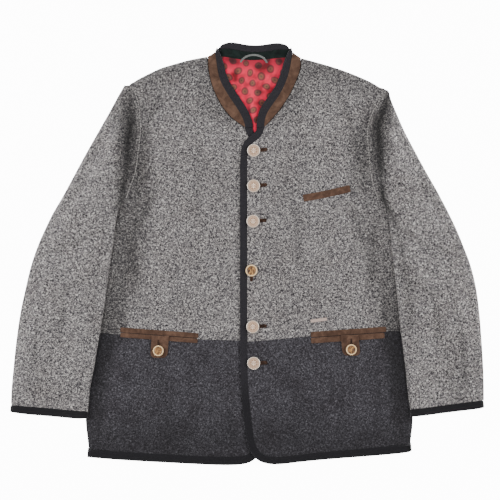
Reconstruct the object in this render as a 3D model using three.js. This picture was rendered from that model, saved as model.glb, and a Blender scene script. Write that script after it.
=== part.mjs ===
// A boiled wool jacket in the trachten style, laid flat on its back with the front up.
// Sizes are in millimetres. +X runs to the right, +Y to the collar and +Z up.
// The origin lies on the surface that carries the jacket, under the middle of its outline.

import * as THREE from 'three';

// Cloth thicknesses and the clearance at seams
const WOOL = 2.4;
const SUEDE = 1.5;
const LINING = 0.8;
const SEAM_GAP = 0.3;

// Heights of the outer face of the fronts above the floor
const EDGE_HEIGHT = 5.1;
const FRONT_HEIGHT = 8;
const UNDERLAP_HEIGHT = 7;
const OVERLAP_HEIGHT = 11;
const ROUNDING = 16;

// Where a front changes height: across at the underlap and the overlap, down at the hem
const UNDERLAP_START = -75;
const UNDERLAP_RAMP = 50;
const OVERLAP_END = 32;
const OVERLAP_RAMP = 70;
const HEM_FALL_START = -300;
const HEM_FALL_RAMP = 50;
const HEM_EDGE_START = -320;
const HEM_EDGE_RAMP = 30;

// Where the soft folds of a front fade out: above the hem and beside the closing
const HEM_CALM = -340;
const HEM_CALM_RAMP = 60;
const CLOSING_X = 5;
const CLOSING_CALM = 40;
const CLOSING_CALM_RAMP = 40;

// Braid that binds the edges
const BRAID_WIDTH = 12;
const BRAID_THICKNESS = 3.6;
const BRAID_INSET = BRAID_WIDTH / 2 + SEAM_GAP;
const HEM_EDGE_HEIGHT = BRAID_THICKNESS + SEAM_GAP + WOOL;

// Stand collar
const BAND_LAYER_GAP = 0.15;
const BAND_BACK_HEIGHT = 1.8;
const BAND_SEAM_GAP = 0.4;
const BAND_BRAID_GAP = 0.9;
const FOLD_STEPS = 5;
const FOLD_RADIUS = 2.6;

// Sleeves
const SLEEVE_PUFF = 3.5;
const SLEEVE_SEAM_PUFF = 2.9;
const SLEEVE_FALL = 50;
const FOLD_FALL_SHARE = 0.6;
const JOIN_LENGTH = 60;

// Buttons
const FRONT_BUTTON = 24;
const HORN_BUTTON = 22;
const POCKET_BUTTON = 20;
const BUTTON_SIDES = 16;

const COLOURS = {
  greyWool: 0x8b888a,
  darkWool: 0x3c3b40,
  braid: 0x2a2a2e,
  suede: 0x6b4a36,
  felt: 0x16211e,
  satin: 0xc8374c,
  ribbon: 0x8d9491,
  silver: 0xcdb8a8,
  horn: 0xa5743c,
  tag: 0xb5b0a8,
};

// Shoulder lines, from the sleeve to the neck
const LEFT_SHOULDER = [
  { x: -221, y: 306 },
  { x: -211, y: 318 },
  { x: -189, y: 330 },
  { x: -164, y: 342 },
  { x: -135, y: 351 },
  { x: -105, y: 359 },
  { x: -76, y: 364 },
];
const RIGHT_SHOULDER = [
  { x: 256, y: 298 },
  { x: 240, y: 310 },
  { x: 220, y: 321 },
  { x: 191, y: 333 },
  { x: 161, y: 344 },
  { x: 119, y: 356 },
  { x: 99, y: 361 },
];

// Sections across a sleeve from the shoulder to the cuff: the outer edge, the fold beside the
// body and the inner edge. The inner edge is the armhole seam down to the row marked armpit.
// lift is how far the fold stands off the floor and over is how far the body reaches under it.
const LEFT_SLEEVE = [
  { outerX: -229, outerY: 310, foldX: -225, foldY: 307, innerX: -221, innerY: 306, lift: 0, over: 0 },
  { outerX: -241, outerY: 290, foldX: -228, foldY: 287, innerX: -211, innerY: 282, lift: 0.4, over: 0 },
  { outerX: -260, outerY: 253, foldX: -226, foldY: 252, innerX: -207, innerY: 256, lift: 2.6, over: 0 },
  { outerX: -279, outerY: 219, foldX: -226, foldY: 221, innerX: -206, innerY: 224, lift: 5, over: 0 },
  { outerX: -300, outerY: 182, foldX: -231, foldY: 183, innerX: -210, innerY: 189, lift: 6.2, over: 0 },
  { outerX: -320, outerY: 145, foldX: -234, foldY: 150, innerX: -215, innerY: 152, lift: 6.8, over: 0 },
  { outerX: -340, outerY: 108, foldX: -238, foldY: 119, innerX: -226, innerY: 121, lift: 7.4, over: 0 },
  { outerX: -360, outerY: 74, foldX: -242, foldY: 87, innerX: -235, innerY: 93, lift: 8.4, over: 3 },
  { outerX: -373, outerY: 48, foldX: -253, foldY: 64, innerX: -242, innerY: 73, lift: 8.6, over: 8 },
  { outerX: -388, outerY: 15, foldX: -261, foldY: 26, innerX: -248, innerY: 26, lift: 8.5, over: 14 },
  { outerX: -401, outerY: -22, foldX: -266, foldY: -14, innerX: -254, innerY: -14, lift: 8.5, over: 14 },
  { outerX: -412, outerY: -66, foldX: -274, foldY: -64, innerX: -261, innerY: -64, lift: 8.5, over: 12 },
  { outerX: -422, outerY: -112, foldX: -282, foldY: -114, innerX: -268, innerY: -114, lift: 8.5, over: 8 },
  { outerX: -429, outerY: -162, foldX: -290, foldY: -164, innerX: -277, innerY: -164, lift: 8.5, over: 4 },
  { outerX: -434, outerY: -212, foldX: -297, foldY: -212, innerX: -285, innerY: -212, lift: 8.3, over: 2 },
  { outerX: -437, outerY: -250, foldX: -305, foldY: -252, innerX: -293, innerY: -252, lift: 7.9, over: 2 },
  { outerX: -437, outerY: -279, foldX: -310, foldY: -289, innerX: -298, innerY: -290, lift: 7, over: 2 },
];
const RIGHT_SLEEVE = [
  { outerX: 262, outerY: 295, foldX: 259, foldY: 297, innerX: 256, innerY: 298, lift: 0, over: 0 },
  { outerX: 266, outerY: 282, foldX: 255, foldY: 280, innerX: 246, innerY: 274, lift: 0.4, over: 0 },
  { outerX: 276, outerY: 258, foldX: 252, foldY: 252, innerX: 233, innerY: 250, lift: 2.6, over: 0 },
  { outerX: 290, outerY: 226, foldX: 250, foldY: 221, innerX: 228, innerY: 222, lift: 5, over: 0 },
  { outerX: 310, outerY: 188, foldX: 250, foldY: 187, innerX: 230, innerY: 189, lift: 6.2, over: 0 },
  { outerX: 330, outerY: 151, foldX: 252, foldY: 148, innerX: 234, innerY: 150, lift: 6.8, over: 0 },
  { outerX: 351, outerY: 114, foldX: 255, foldY: 117, innerX: 242, innerY: 117, lift: 7.4, over: 0 },
  { outerX: 371, outerY: 76, foldX: 258, foldY: 87, innerX: 252, innerY: 93, lift: 8.4, over: 3 },
  { outerX: 385, outerY: 47, foldX: 270, foldY: 63, innerX: 259, innerY: 73, lift: 8.6, over: 8 },
  { outerX: 400, outerY: 11, foldX: 276, foldY: 26, innerX: 264, innerY: 26, lift: 8.5, over: 14 },
  { outerX: 413, outerY: -24, foldX: 281, foldY: -14, innerX: 268, innerY: -14, lift: 8.5, over: 14 },
  { outerX: 423, outerY: -66, foldX: 287, foldY: -64, innerX: 274, innerY: -64, lift: 8.5, over: 12 },
  { outerX: 429, outerY: -112, foldX: 292, foldY: -114, innerX: 279, innerY: -114, lift: 8.5, over: 8 },
  { outerX: 433, outerY: -162, foldX: 298, foldY: -164, innerX: 285, innerY: -164, lift: 8.5, over: 4 },
  { outerX: 436, outerY: -212, foldX: 303, foldY: -212, innerX: 291, innerY: -212, lift: 8.3, over: 2 },
  { outerX: 437, outerY: -245, foldX: 308, foldY: -252, innerX: 295, innerY: -252, lift: 8.2, over: 3 },
  { outerX: 437, outerY: -270, foldX: 313, foldY: -285.2, innerX: 300, innerY: -287, lift: 7.6, over: 3 },
];
const ARMPIT_ROW = 7;
const SLEEVE_STEPS = 2;

// Side edges of the body below the armpit, where the sleeve covers them, down to the hem
const LEFT_SIDE = [
  { x: -252, y: 62 },
  { x: -264, y: 40 },
  { x: -274, y: -10 },
  { x: -284, y: -70 },
  { x: -288, y: -120 },
  { x: -290, y: -146 },
];
const LEFT_SIDE_LOW = [
  { x: -290, y: -146 },
  { x: -292, y: -190 },
  { x: -295, y: -250 },
  { x: -297, y: -304 },
  { x: -296, y: -345 },
  { x: -293, y: -363 },
];
const RIGHT_SIDE = [
  { x: 268, y: 62 },
  { x: 276, y: 40 },
  { x: 285, y: -10 },
  { x: 294, y: -70 },
  { x: 297, y: -120 },
  { x: 298, y: -143 },
];
const RIGHT_SIDE_LOW = [
  { x: 298, y: -143 },
  { x: 299, y: -190 },
  { x: 301, y: -250 },
  { x: 303.5, y: -304 },
  { x: 301, y: -340 },
  { x: 299, y: -354 },
];

// Seam between the grey and the dark wool, from the side to the front edge
const LEFT_YOKE_SEAM = [
  { x: -290, y: -146 },
  { x: -268, y: -147 },
  { x: -237, y: -152 },
  { x: -130, y: -158 },
  { x: 17.3, y: -163 },
];
const RIGHT_YOKE_SEAM = [
  { x: 298, y: -143 },
  { x: 260, y: -144.5 },
  { x: 200, y: -148.5 },
  { x: 115, y: -153.5 },
  { x: -1.8, y: -164 },
];

// Middle of the braid on a front: round the neck corner, down the front edge, round the
// lower corner and along the hem
const LEFT_NECK_CORNER = [
  { x: 2, y: 233 },
  { x: 3, y: 226 },
  { x: 6.8, y: 218 },
  { x: 13, y: 209 },
  { x: 19.3, y: 198 },
  { x: 22.8, y: 186 },
  { x: 23.6, y: 170 },
];
const RIGHT_NECK_CORNER = [
  { x: 23.1, y: 231.9 },
  { x: 21.8, y: 225 },
  { x: 17.6, y: 218.5 },
  { x: 9.5, y: 212.5 },
  { x: 1, y: 206 },
  { x: -5, y: 197 },
  { x: -8, y: 183 },
];
const LEFT_EDGE_LOW = [
  { x: 23.6, y: -163 },
  { x: 23.6, y: -260 },
  { x: 23.6, y: -336 },
  { x: 22.6, y: -350 },
  { x: 19, y: -363 },
];
const LEFT_HEM = [
  { x: 19, y: -363 },
  { x: 12, y: -372.5 },
  { x: 2, y: -379 },
  { x: -12, y: -382.5 },
  { x: -46, y: -384 },
  { x: -134, y: -379.8 },
  { x: -222, y: -375 },
  { x: -293, y: -370.5 },
];
const RIGHT_EDGE_LOW = [
  { x: -8, y: -164 },
  { x: -7, y: -225 },
  { x: -4.6, y: -270 },
  { x: 0.4, y: -315 },
  { x: 5, y: -348 },
  { x: 11, y: -364 },
];
const RIGHT_HEM = [
  { x: 11, y: -364 },
  { x: 19.6, y: -375 },
  { x: 31, y: -381 },
  { x: 47, y: -383.7 },
  { x: 62, y: -383.5 },
  { x: 102, y: -379 },
  { x: 161, y: -373 },
  { x: 220, y: -367.5 },
  { x: 299, y: -361 },
];

const BACK_HEM = [
  { x: -293, y: -367.5 },
  { x: -222, y: -371.5 },
  { x: -134, y: -375 },
  { x: -46, y: -375 },
  { x: 19, y: -372 },
  { x: 102, y: -372.5 },
  { x: 161, y: -369 },
  { x: 220, y: -364 },
  { x: 299, y: -357.5 },
];

// Stand collar in pairs of points: on the neck seam and on the middle of the braid. The left
// front runs up from the front edge, the back from left to right and the right front down.
const COLLAR_LEFT = [
  { seamX: -6, seamY: 233.5, edgeX: 1.9, edgeY: 234 },
  { seamX: -18.3, seamY: 241, edgeX: 0, edgeY: 246 },
  { seamX: -33.7, seamY: 253.3, edgeX: -9.6, edgeY: 266 },
  { seamX: -47.4, seamY: 270.3, edgeX: -23.2, edgeY: 285.6 },
  { seamX: -57.4, seamY: 288.6, edgeX: -34.4, edgeY: 302.5 },
  { seamX: -65.1, seamY: 305.4, edgeX: -43, edgeY: 317 },
  { seamX: -70.5, seamY: 324, edgeX: -48.6, edgeY: 333 },
  { seamX: -74.4, seamY: 345.4, edgeX: -51.4, edgeY: 352 },
];
const COLLAR_LEFT_FOLD = { seamX: -73.7, seamY: 360.2, edgeX: -52.4, edgeY: 373 };
const COLLAR_BACK = [
  { seamX: -60, seamY: 361, edgeX: -45, edgeY: 380.5 },
  { seamX: -43, seamY: 360, edgeX: -31.5, edgeY: 384.6 },
  { seamX: -24.4, seamY: 357, edgeX: -18.3, edgeY: 382.4 },
  { seamX: -5.9, seamY: 354.6, edgeX: -3, edgeY: 378.5 },
  { seamX: 12, seamY: 354, edgeX: 12.4, edgeY: 377 },
  { seamX: 32.4, seamY: 355.5, edgeX: 29.2, edgeY: 378.5 },
  { seamX: 52, seamY: 357.5, edgeX: 44.4, edgeY: 382 },
  { seamX: 68, seamY: 359, edgeX: 57, edgeY: 382.6 },
  { seamX: 83, seamY: 359.6, edgeX: 68.5, edgeY: 379 },
];
const COLLAR_RIGHT_FOLD = { seamX: 96.5, seamY: 358.2, edgeX: 74.2, edgeY: 373 };
const COLLAR_RIGHT = [
  { seamX: 98.2, seamY: 345, edgeX: 72.6, edgeY: 354 },
  { seamX: 93.6, seamY: 330, edgeX: 69.6, edgeY: 337.5 },
  { seamX: 87.5, seamY: 314.7, edgeX: 64.4, edgeY: 321 },
  { seamX: 79.9, seamY: 297.9, edgeX: 57.6, edgeY: 306 },
  { seamX: 70.7, seamY: 282.5, edgeX: 49, edgeY: 292 },
  { seamX: 59.9, seamY: 265.7, edgeX: 38.6, edgeY: 278 },
  { seamX: 47.7, seamY: 251.8, edgeX: 28.4, edgeY: 263 },
  { seamX: 37, seamY: 239.6, edgeX: 24, edgeY: 248 },
  { seamX: 30.3, seamY: 233.5, edgeX: 23.2, edgeY: 233.4 },
];

// Lining that the neck opening shows, lying on the back
const NECK_LINING = [
  { x: -56, y: 352 },
  { x: -52, y: 330 },
  { x: -38, y: 300 },
  { x: -16, y: 268 },
  { x: 0, y: 236 },
  { x: 4, y: 196 },
  { x: 22, y: 196 },
  { x: 28, y: 240 },
  { x: 44, y: 276 },
  { x: 66, y: 312 },
  { x: 78, y: 346 },
];

// Hanger loop, a folded ribbon that stands in a low arch on the back of the collar
const LOOP_ROUTE = [
  { x: -15, y: 350 },
  { x: -12, y: 357 },
  { x: -4, y: 364 },
  { x: 8, y: 367.4 },
  { x: 20, y: 366 },
  { x: 29, y: 361.5 },
  { x: 34, y: 355 },
  { x: 35.5, y: 350 },
];
const LOOP_WIDTH = 4.6;
const LOOP_THICKNESS = 1;
const LOOP_HEIGHT = 4.4;

// Pocket welts: ends of the upper edge, height of the strip and sag of its middle
const WELTS = [
  { name: 'welt_left_upper', x0: -236, y0: -137, x1: -91, y1: -148, height: 9.2, bend: 0 },
  { name: 'welt_left_lower', x0: -236, y0: -146.8, x1: -92.6, y1: -158, height: 8.6, bend: 0 },
  { name: 'welt_right_upper', x0: 115.5, y0: -145.6, x1: 255.6, y1: -135.6, height: 10.2, bend: 0 },
  { name: 'welt_right_lower', x0: 116, y0: -156.6, x1: 252.7, y1: -146.8, height: 10.6, bend: 0 },
  { name: 'welt_breast', x0: 100.8, y0: 108.2, x1: 187.6, y1: 126.5, height: 13.2, bend: 1.2 },
];
const WELT_THICKNESS = 1.6;
const WELT_LENGTH_STEPS = 12;
const WELT_SHARES = [0, 0.18, 0.82, 1];
const WELT_EDGE_SHARE = 0.6;

// Button tabs that hang out of the pocket slits
const TABS = [
  { name: 'tab_left', x: -162, y: -152.4, footX: -165, width: 32, length: 41 },
  { name: 'tab_right', x: 187.6, y: -151, footX: 191.8, width: 33, length: 38.5 },
];
const TAB_THICKNESS = 1.6;
const TAB_ROUNDING = 9;
const TAB_FOOT_CUT = 0.2;
const TAB_STEP_START = 10;
const TAB_STEP_LENGTH = 6;

// Buttons down the front, from the neck to the hem. hole is the length of the buttonhole.
const FRONT_BUTTONS = [
  { name: 'front_button_1', x: 10.4, y: 189.5, size: FRONT_BUTTON, hole: 27, tilt: 5, kind: 'silver' },
  { name: 'front_button_2', x: 10.2, y: 124.3, size: FRONT_BUTTON, hole: 27, tilt: 5, kind: 'silver' },
  { name: 'front_button_3', x: 9.3, y: 59, size: FRONT_BUTTON, hole: 27, tilt: 5, kind: 'silver' },
  { name: 'front_button_4', x: 6.5, y: -32, size: HORN_BUTTON, hole: 20, tilt: -90, kind: 'horn' },
  { name: 'front_button_5', x: 8.7, y: -135.8, size: FRONT_BUTTON, hole: 27, tilt: 3, kind: 'silver' },
  { name: 'front_button_6', x: 10.5, y: -203, size: FRONT_BUTTON, hole: 27, tilt: 2, kind: 'silver' },
];
const POCKET_BUTTONS = [
  { name: 'pocket_button_left', tab: 0, x: -165.6, y: -180.2, hole: 17 },
  { name: 'pocket_button_right', tab: 1, x: 190.9, y: -178, hole: 17 },
];
const HOLE_WIDTH = 5;
const HOLE_THICKNESS = 0.8;
const HOLE_START = 3;
const TAB_HOLE_STEPS = 8;
const HOLE_CURVE_STEPS = 4;
const PLACES_AROUND = 12;

// Small bare metal bar above the right pocket
const BAR = { x: 131, y: -123.7, length: 30, width: 5.4, thickness: 0.8, tilt: 7.4 };

// Soft folds of the fronts and sleeves: middle, direction in degrees, length, width and rise
const FRONT_FOLDS = [
  { x: -170, y: 250, turn: 78, length: 90, width: 16, rise: -1.3 },
  { x: -196, y: 150, turn: 70, length: 90, width: 22, rise: 1.1 },
  { x: -120, y: 40, turn: 62, length: 120, width: 26, rise: -0.8 },
  { x: -60, y: 60, turn: 96, length: 150, width: 24, rise: 0.8 },
  { x: -230, y: -60, turn: 84, length: 120, width: 20, rise: -1 },
  { x: 186, y: 240, turn: 100, length: 90, width: 18, rise: -1.2 },
  { x: 206, y: 130, turn: 108, length: 80, width: 22, rise: 1 },
  { x: 120, y: 20, turn: 116, length: 130, width: 26, rise: -0.8 },
  { x: 236, y: -50, turn: 96, length: 120, width: 20, rise: -1 },
  { x: -110, y: -270, turn: 88, length: 100, width: 26, rise: 0.9 },
  { x: 150, y: -270, turn: 94, length: 100, width: 26, rise: 0.9 },
];
const SLEEVE_FOLDS = [
  { x: -318, y: 96, turn: 64, length: 90, width: 12, rise: -1.8 },
  { x: -352, y: -20, turn: 20, length: 70, width: 12, rise: -1.7 },
  { x: -338, y: -70, turn: 34, length: 60, width: 11, rise: -1.5 },
  { x: -376, y: -170, turn: 82, length: 90, width: 15, rise: -1.6 },
  { x: 330, y: 92, turn: 116, length: 90, width: 12, rise: -1.8 },
  { x: 360, y: -14, turn: 160, length: 70, width: 12, rise: -1.7 },
  { x: 346, y: -76, turn: 148, length: 60, width: 11, rise: -1.5 },
  { x: 380, y: -170, turn: 98, length: 90, width: 15, rise: -1.6 },
];

const UP = new THREE.Vector3(0, 0, 1);
const jacket = new THREE.Group();

// Helpers for curves

function point(row) {
  return new THREE.Vector3(row.x, row.y, 0);
}

// Smooth step from 0 to 1
function ease(value) {
  const t = THREE.MathUtils.clamp(value, 0, 1);
  return t * t * (3 - 2 * t);
}

// Quarter of a circle, from 0 at an edge to 1 on the flat
function round(value) {
  const t = THREE.MathUtils.clamp(value, 0, 1);
  return Math.sqrt(1 - (1 - t) * (1 - t));
}

// Value of a smooth curve through four neighbours, between the middle two
function blend(before, from, to, after, t) {
  const slopeIn = (to - before) / 2;
  const slopeOut = (after - from) / 2;
  const bend = 3 * (to - from) - 2 * slopeIn - slopeOut;
  const twist = 2 * (from - to) + slopeIn + slopeOut;
  return from + t * (slopeIn + t * (bend + t * twist));
}

// The rows of a table with more rows between them
function refine(rows, steps) {
  const fine = [];
  for (let i = 0; i < rows.length - 1; i += 1) {
    const before = rows[Math.max(i - 1, 0)];
    const after = rows[Math.min(i + 2, rows.length - 1)];
    for (let k = 0; k < steps; k += 1) {
      const row = {};
      for (const key of Object.keys(rows[i])) {
        row[key] = blend(before[key], rows[i][key], rows[i + 1][key], after[key], k / steps);
      }
      fine.push(row);
    }
  }
  fine.push(rows[rows.length - 1]);
  return fine;
}

// Points at equal distances along a line of rows
function spaced(rows, count) {
  const points = rows.map(point);
  const lengths = [0];
  for (let i = 1; i < points.length; i += 1) {
    lengths.push(lengths[i - 1] + points[i].distanceTo(points[i - 1]));
  }
  const total = lengths[lengths.length - 1];
  const result = [];
  for (let k = 0; k < count; k += 1) {
    const goal = (total * k) / (count - 1);
    let i = 1;
    while (i < points.length - 1 && lengths[i] < goal) {
      i += 1;
    }
    const t = (goal - lengths[i - 1]) / (lengths[i] - lengths[i - 1]);
    result.push(points[i - 1].clone().lerp(points[i], t));
  }
  return result;
}

// Level direction across a path, to the left of the way it runs
function sideways(points, i) {
  const from = points[Math.max(i - 1, 0)];
  const to = points[Math.min(i + 1, points.length - 1)];
  const along = to.clone().sub(from).setZ(0).normalize();
  return new THREE.Vector3(-along.y, along.x, 0);
}

function movedSideways(points, distance) {
  return points.map((p, i) => p.clone().addScaledVector(sideways(points, i), distance));
}

function distanceToPath(x, y, points) {
  let nearest = Infinity;
  for (let i = 1; i < points.length; i += 1) {
    const dx = points[i].x - points[i - 1].x;
    const dy = points[i].y - points[i - 1].y;
    const along = ((x - points[i - 1].x) * dx + (y - points[i - 1].y) * dy) / (dx * dx + dy * dy);
    const t = THREE.MathUtils.clamp(along, 0, 1);
    nearest = Math.min(nearest, Math.hypot(x - points[i - 1].x - t * dx, y - points[i - 1].y - t * dy));
  }
  return nearest;
}

// Helpers for closed solids

// Turns the faces outward where they point inward
function facingOut(geometry) {
  const position = geometry.getAttribute('position');
  const index = geometry.getIndex();
  const a = new THREE.Vector3();
  const b = new THREE.Vector3();
  const c = new THREE.Vector3();
  let volume = 0;
  for (let i = 0; i < index.count; i += 3) {
    a.fromBufferAttribute(position, index.getX(i));
    b.fromBufferAttribute(position, index.getX(i + 1));
    c.fromBufferAttribute(position, index.getX(i + 2));
    volume += a.dot(b.cross(c));
  }
  if (volume < 0) {
    for (let i = 0; i < index.count; i += 3) {
      const kept = index.getX(i);
      index.setX(i, index.getX(i + 1));
      index.setX(i + 1, kept);
    }
  }
  return geometry;
}

function geometryFrom(points, faces) {
  const geometry = new THREE.BufferGeometry();
  geometry.setAttribute('position', new THREE.Float32BufferAttribute(points.flatMap((p) => p.toArray()), 3));
  geometry.setIndex(faces);
  return facingOut(geometry);
}

// Closed wall between two grids of points, an outer and an inner one
function wall(outer, inner) {
  const rows = outer.length;
  const columns = outer[0].length;
  const faces = [];
  const at = (layer, row, column) => (layer * rows + row) * columns + column;
  const quad = (a, b, c, d) => faces.push(a, b, c, a, c, d);
  for (let r = 0; r < rows - 1; r += 1) {
    for (let c = 0; c < columns - 1; c += 1) {
      quad(at(0, r, c), at(0, r, c + 1), at(0, r + 1, c + 1), at(0, r + 1, c));
      quad(at(1, r, c), at(1, r + 1, c), at(1, r + 1, c + 1), at(1, r, c + 1));
    }
  }
  const lastRow = rows - 1;
  const lastColumn = columns - 1;
  for (let c = 0; c < lastColumn; c += 1) {
    quad(at(0, 0, c + 1), at(0, 0, c), at(1, 0, c), at(1, 0, c + 1));
    quad(at(0, lastRow, c), at(0, lastRow, c + 1), at(1, lastRow, c + 1), at(1, lastRow, c));
  }
  for (let r = 0; r < lastRow; r += 1) {
    quad(at(0, r, 0), at(0, r + 1, 0), at(1, r + 1, 0), at(1, r, 0));
    quad(at(0, r + 1, lastColumn), at(0, r, lastColumn), at(1, r, lastColumn), at(1, r + 1, lastColumn));
  }
  return geometryFrom([...outer.flat(), ...inner.flat()], faces);
}

// Closed bar through equal rings of points; looped bars join the last ring to the first
function bar(rings, looped) {
  const sides = rings[0].length;
  const faces = [];
  const last = looped ? rings.length : rings.length - 1;
  for (let r = 0; r < last; r += 1) {
    const next = (r + 1) % rings.length;
    for (let s = 0; s < sides; s += 1) {
      const turn = (s + 1) % sides;
      faces.push(r * sides + s, r * sides + turn, next * sides + turn);
      faces.push(r * sides + s, next * sides + turn, next * sides + s);
    }
  }
  if (!looped) {
    const end = (rings.length - 1) * sides;
    for (let s = 1; s < sides - 1; s += 1) {
      faces.push(0, s + 1, s);
      faces.push(end, end + s, end + s + 1);
    }
  }
  return geometryFrom(rings.flat(), faces);
}

// Section of a flat strip with softened corners, in its own plane
function stripRing(centre, across, normal, width, thickness) {
  const corners = [
    { a: 0.5, b: 0.22 }, { a: 0.42, b: 0.5 }, { a: -0.42, b: 0.5 }, { a: -0.5, b: 0.22 },
    { a: -0.5, b: -0.22 }, { a: -0.42, b: -0.5 }, { a: 0.42, b: -0.5 }, { a: 0.5, b: -0.22 },
  ];
  return corners.map(({ a, b }) => centre.clone()
    .addScaledVector(across, a * width)
    .addScaledVector(normal, b * thickness));
}

function add(name, geometry, colour, roughness = 0.95, metalness = 0) {
  const material = new THREE.MeshStandardMaterial({ color: COLOURS[colour], roughness, metalness });
  const mesh = new THREE.Mesh(geometry, material);
  mesh.name = name;
  jacket.add(mesh);
  return mesh;
}

// Heights of the fronts

function foldRise(folds, x, y) {
  let rise = 0;
  for (const fold of folds) {
    const turn = THREE.MathUtils.degToRad(fold.turn);
    const along = (x - fold.x) * Math.cos(turn) + (y - fold.y) * Math.sin(turn);
    const across = (y - fold.y) * Math.cos(turn) - (x - fold.x) * Math.sin(turn);
    const reach = (along / fold.length) ** 2 + (across / fold.width) ** 2;
    rise += fold.rise * Math.exp(-2 * reach);
  }
  return rise;
}

// Everything that one side of the body needs, from its tables
function bodySide(tables) {
  const sleeve = [
    ...refine(tables.sleeve.slice(0, ARMPIT_ROW + 1), SLEEVE_STEPS),
    ...tables.sleeve.slice(ARMPIT_ROW + 1),
  ];
  const armhole = sleeve.slice(0, ARMPIT_ROW * SLEEVE_STEPS + 1)
    .map((row) => new THREE.Vector3(row.innerX - tables.outward * SEAM_GAP, row.innerY, 0));
  const side = tables.side.map(point);
  const sideLow = tables.sideLow.map(point);
  const shoulder = tables.shoulder.map(point);
  shoulder[0].copy(armhole[0]);
  return { ...tables, sleeve, armhole, side, sideLow, shoulder };
}

const LEFT = bodySide({
  outward: -1,
  sleeve: LEFT_SLEEVE,
  side: LEFT_SIDE,
  sideLow: LEFT_SIDE_LOW,
  shoulder: LEFT_SHOULDER,
  yoke: LEFT_YOKE_SEAM,
});
const RIGHT = bodySide({
  outward: 1,
  sleeve: RIGHT_SLEEVE,
  side: RIGHT_SIDE,
  sideLow: RIGHT_SIDE_LOW,
  shoulder: RIGHT_SHOULDER,
  yoke: RIGHT_YOKE_SEAM,
});

// Height of a front before it rounds down to its edges
function frontLevel(body, x, y) {
  const nearHem = ease((HEM_FALL_START - y) / HEM_FALL_RAMP);
  if (body === LEFT) {
    const under = ease((x - UNDERLAP_START) / UNDERLAP_RAMP);
    const level = THREE.MathUtils.lerp(FRONT_HEIGHT, UNDERLAP_HEIGHT, under);
    return THREE.MathUtils.lerp(level, UNDERLAP_HEIGHT, nearHem);
  }
  const beyond = ease((x - OVERLAP_END) / OVERLAP_RAMP);
  const level = THREE.MathUtils.lerp(OVERLAP_HEIGHT, FRONT_HEIGHT, beyond);
  return THREE.MathUtils.lerp(level, UNDERLAP_HEIGHT, nearHem * beyond);
}

// Height of the outer face of a front at a place on it
function frontHeight(body, x, y) {
  const toSide = Math.min(distanceToPath(x, y, body.side), distanceToPath(x, y, body.sideLow));
  const toShoulder = distanceToPath(x, y, body.shoulder);
  const edge = round(Math.min(toSide, toShoulder) / ROUNDING);
  const aboveHem = ease((y - HEM_CALM) / HEM_CALM_RAMP);
  const besideClosing = ease((Math.abs(x - CLOSING_X) - CLOSING_CALM) / CLOSING_CALM_RAMP);
  const top = frontLevel(body, x, y) + foldRise(FRONT_FOLDS, x, y) * aboveHem * besideClosing;
  const toHem = ease((HEM_EDGE_START - y) / HEM_EDGE_RAMP);
  const low = THREE.MathUtils.lerp(EDGE_HEIGHT, HEM_EDGE_HEIGHT, toHem);
  return low + (top - low) * edge;
}

const BORDER_STEPS = 400;

// Grid of points inside four border lines, the opposite ones with equal counts
function patch(top, bottom, start, end, spread) {
  const rows = start.length;
  return start.map((left, r) => {
    const v = r / (rows - 1);
    return spread.map((u, c) => {
      const p = new THREE.Vector3();
      p.addScaledVector(top[c], 1 - v).addScaledVector(bottom[c], v);
      p.addScaledVector(left, 1 - u).addScaledVector(end[r], u);
      p.addScaledVector(top[0], -(1 - u) * (1 - v)).addScaledVector(top[top.length - 1], -u * (1 - v));
      p.addScaledVector(bottom[0], -(1 - u) * v).addScaledVector(bottom[bottom.length - 1], -u * v);
      return p;
    });
  });
}

// Points on a border at given shares of its length
function sharesOf(points, shares) {
  const fine = spaced(points, BORDER_STEPS + 1);
  return shares.map((share) => fine[Math.round(share * BORDER_STEPS)].clone());
}

// Outer faces of the fronts, on which the trimmings lie
const clothFaces = [];

// Wall of wool whose outer face has the given heights
function layWool(name, grid, heightAt, colour) {
  const outer = grid.map((row) => row.map((p) => new THREE.Vector3(p.x, p.y, heightAt(p.x, p.y))));
  const inner = outer.map((row) => row.map((p) => new THREE.Vector3(p.x, p.y, p.z - WOOL)));
  clothFaces.push(outer);
  add(name, wall(outer, inner), colour);
}

const SHARE_TOLERANCE = 0.001;

// Height on the triangle a, b, c above or below a place, or nothing outside it
function heightInTriangle(a, b, c, x, y) {
  const area = (b.x - a.x) * (c.y - a.y) - (c.x - a.x) * (b.y - a.y);
  const shareB = ((x - a.x) * (c.y - a.y) - (c.x - a.x) * (y - a.y)) / area;
  const shareC = ((b.x - a.x) * (y - a.y) - (x - a.x) * (b.y - a.y)) / area;
  const least = Math.min(shareB, shareC, 1 - shareB - shareC);
  return least < -SHARE_TOLERANCE ? null : a.z + shareB * (b.z - a.z) + shareC * (c.z - a.z);
}

// Highest outer face of the fronts at a place, on their own triangles
function facetHeight(x, y) {
  let height = 0;
  for (const grid of clothFaces) {
    for (let r = 0; r < grid.length - 1; r += 1) {
      for (let c = 0; c < grid[0].length - 1; c += 1) {
        const [a, b, d, e] = [grid[r][c], grid[r][c + 1], grid[r + 1][c + 1], grid[r + 1][c]];
        height = Math.max(height, heightInTriangle(a, b, d, x, y) ?? 0);
        height = Math.max(height, heightInTriangle(a, d, e, x, y) ?? 0);
      }
    }
  }
  return height;
}

// The same height also over the narrow gap of a seam
function clothHeight(x, y) {
  return Math.max(facetHeight(x, y), facetHeight(x, y + 2 * SEAM_GAP), facetHeight(x, y - 2 * SEAM_GAP));
}

// Fronts

const FRONT_SPREAD = [0, 0.012, 0.03, 0.06, 0.13, 0.22, 0.33, 0.45, 0.57, 0.68, 0.78, 0.86, 0.93, 1];
const CENTRE_ROWS = 7;

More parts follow.
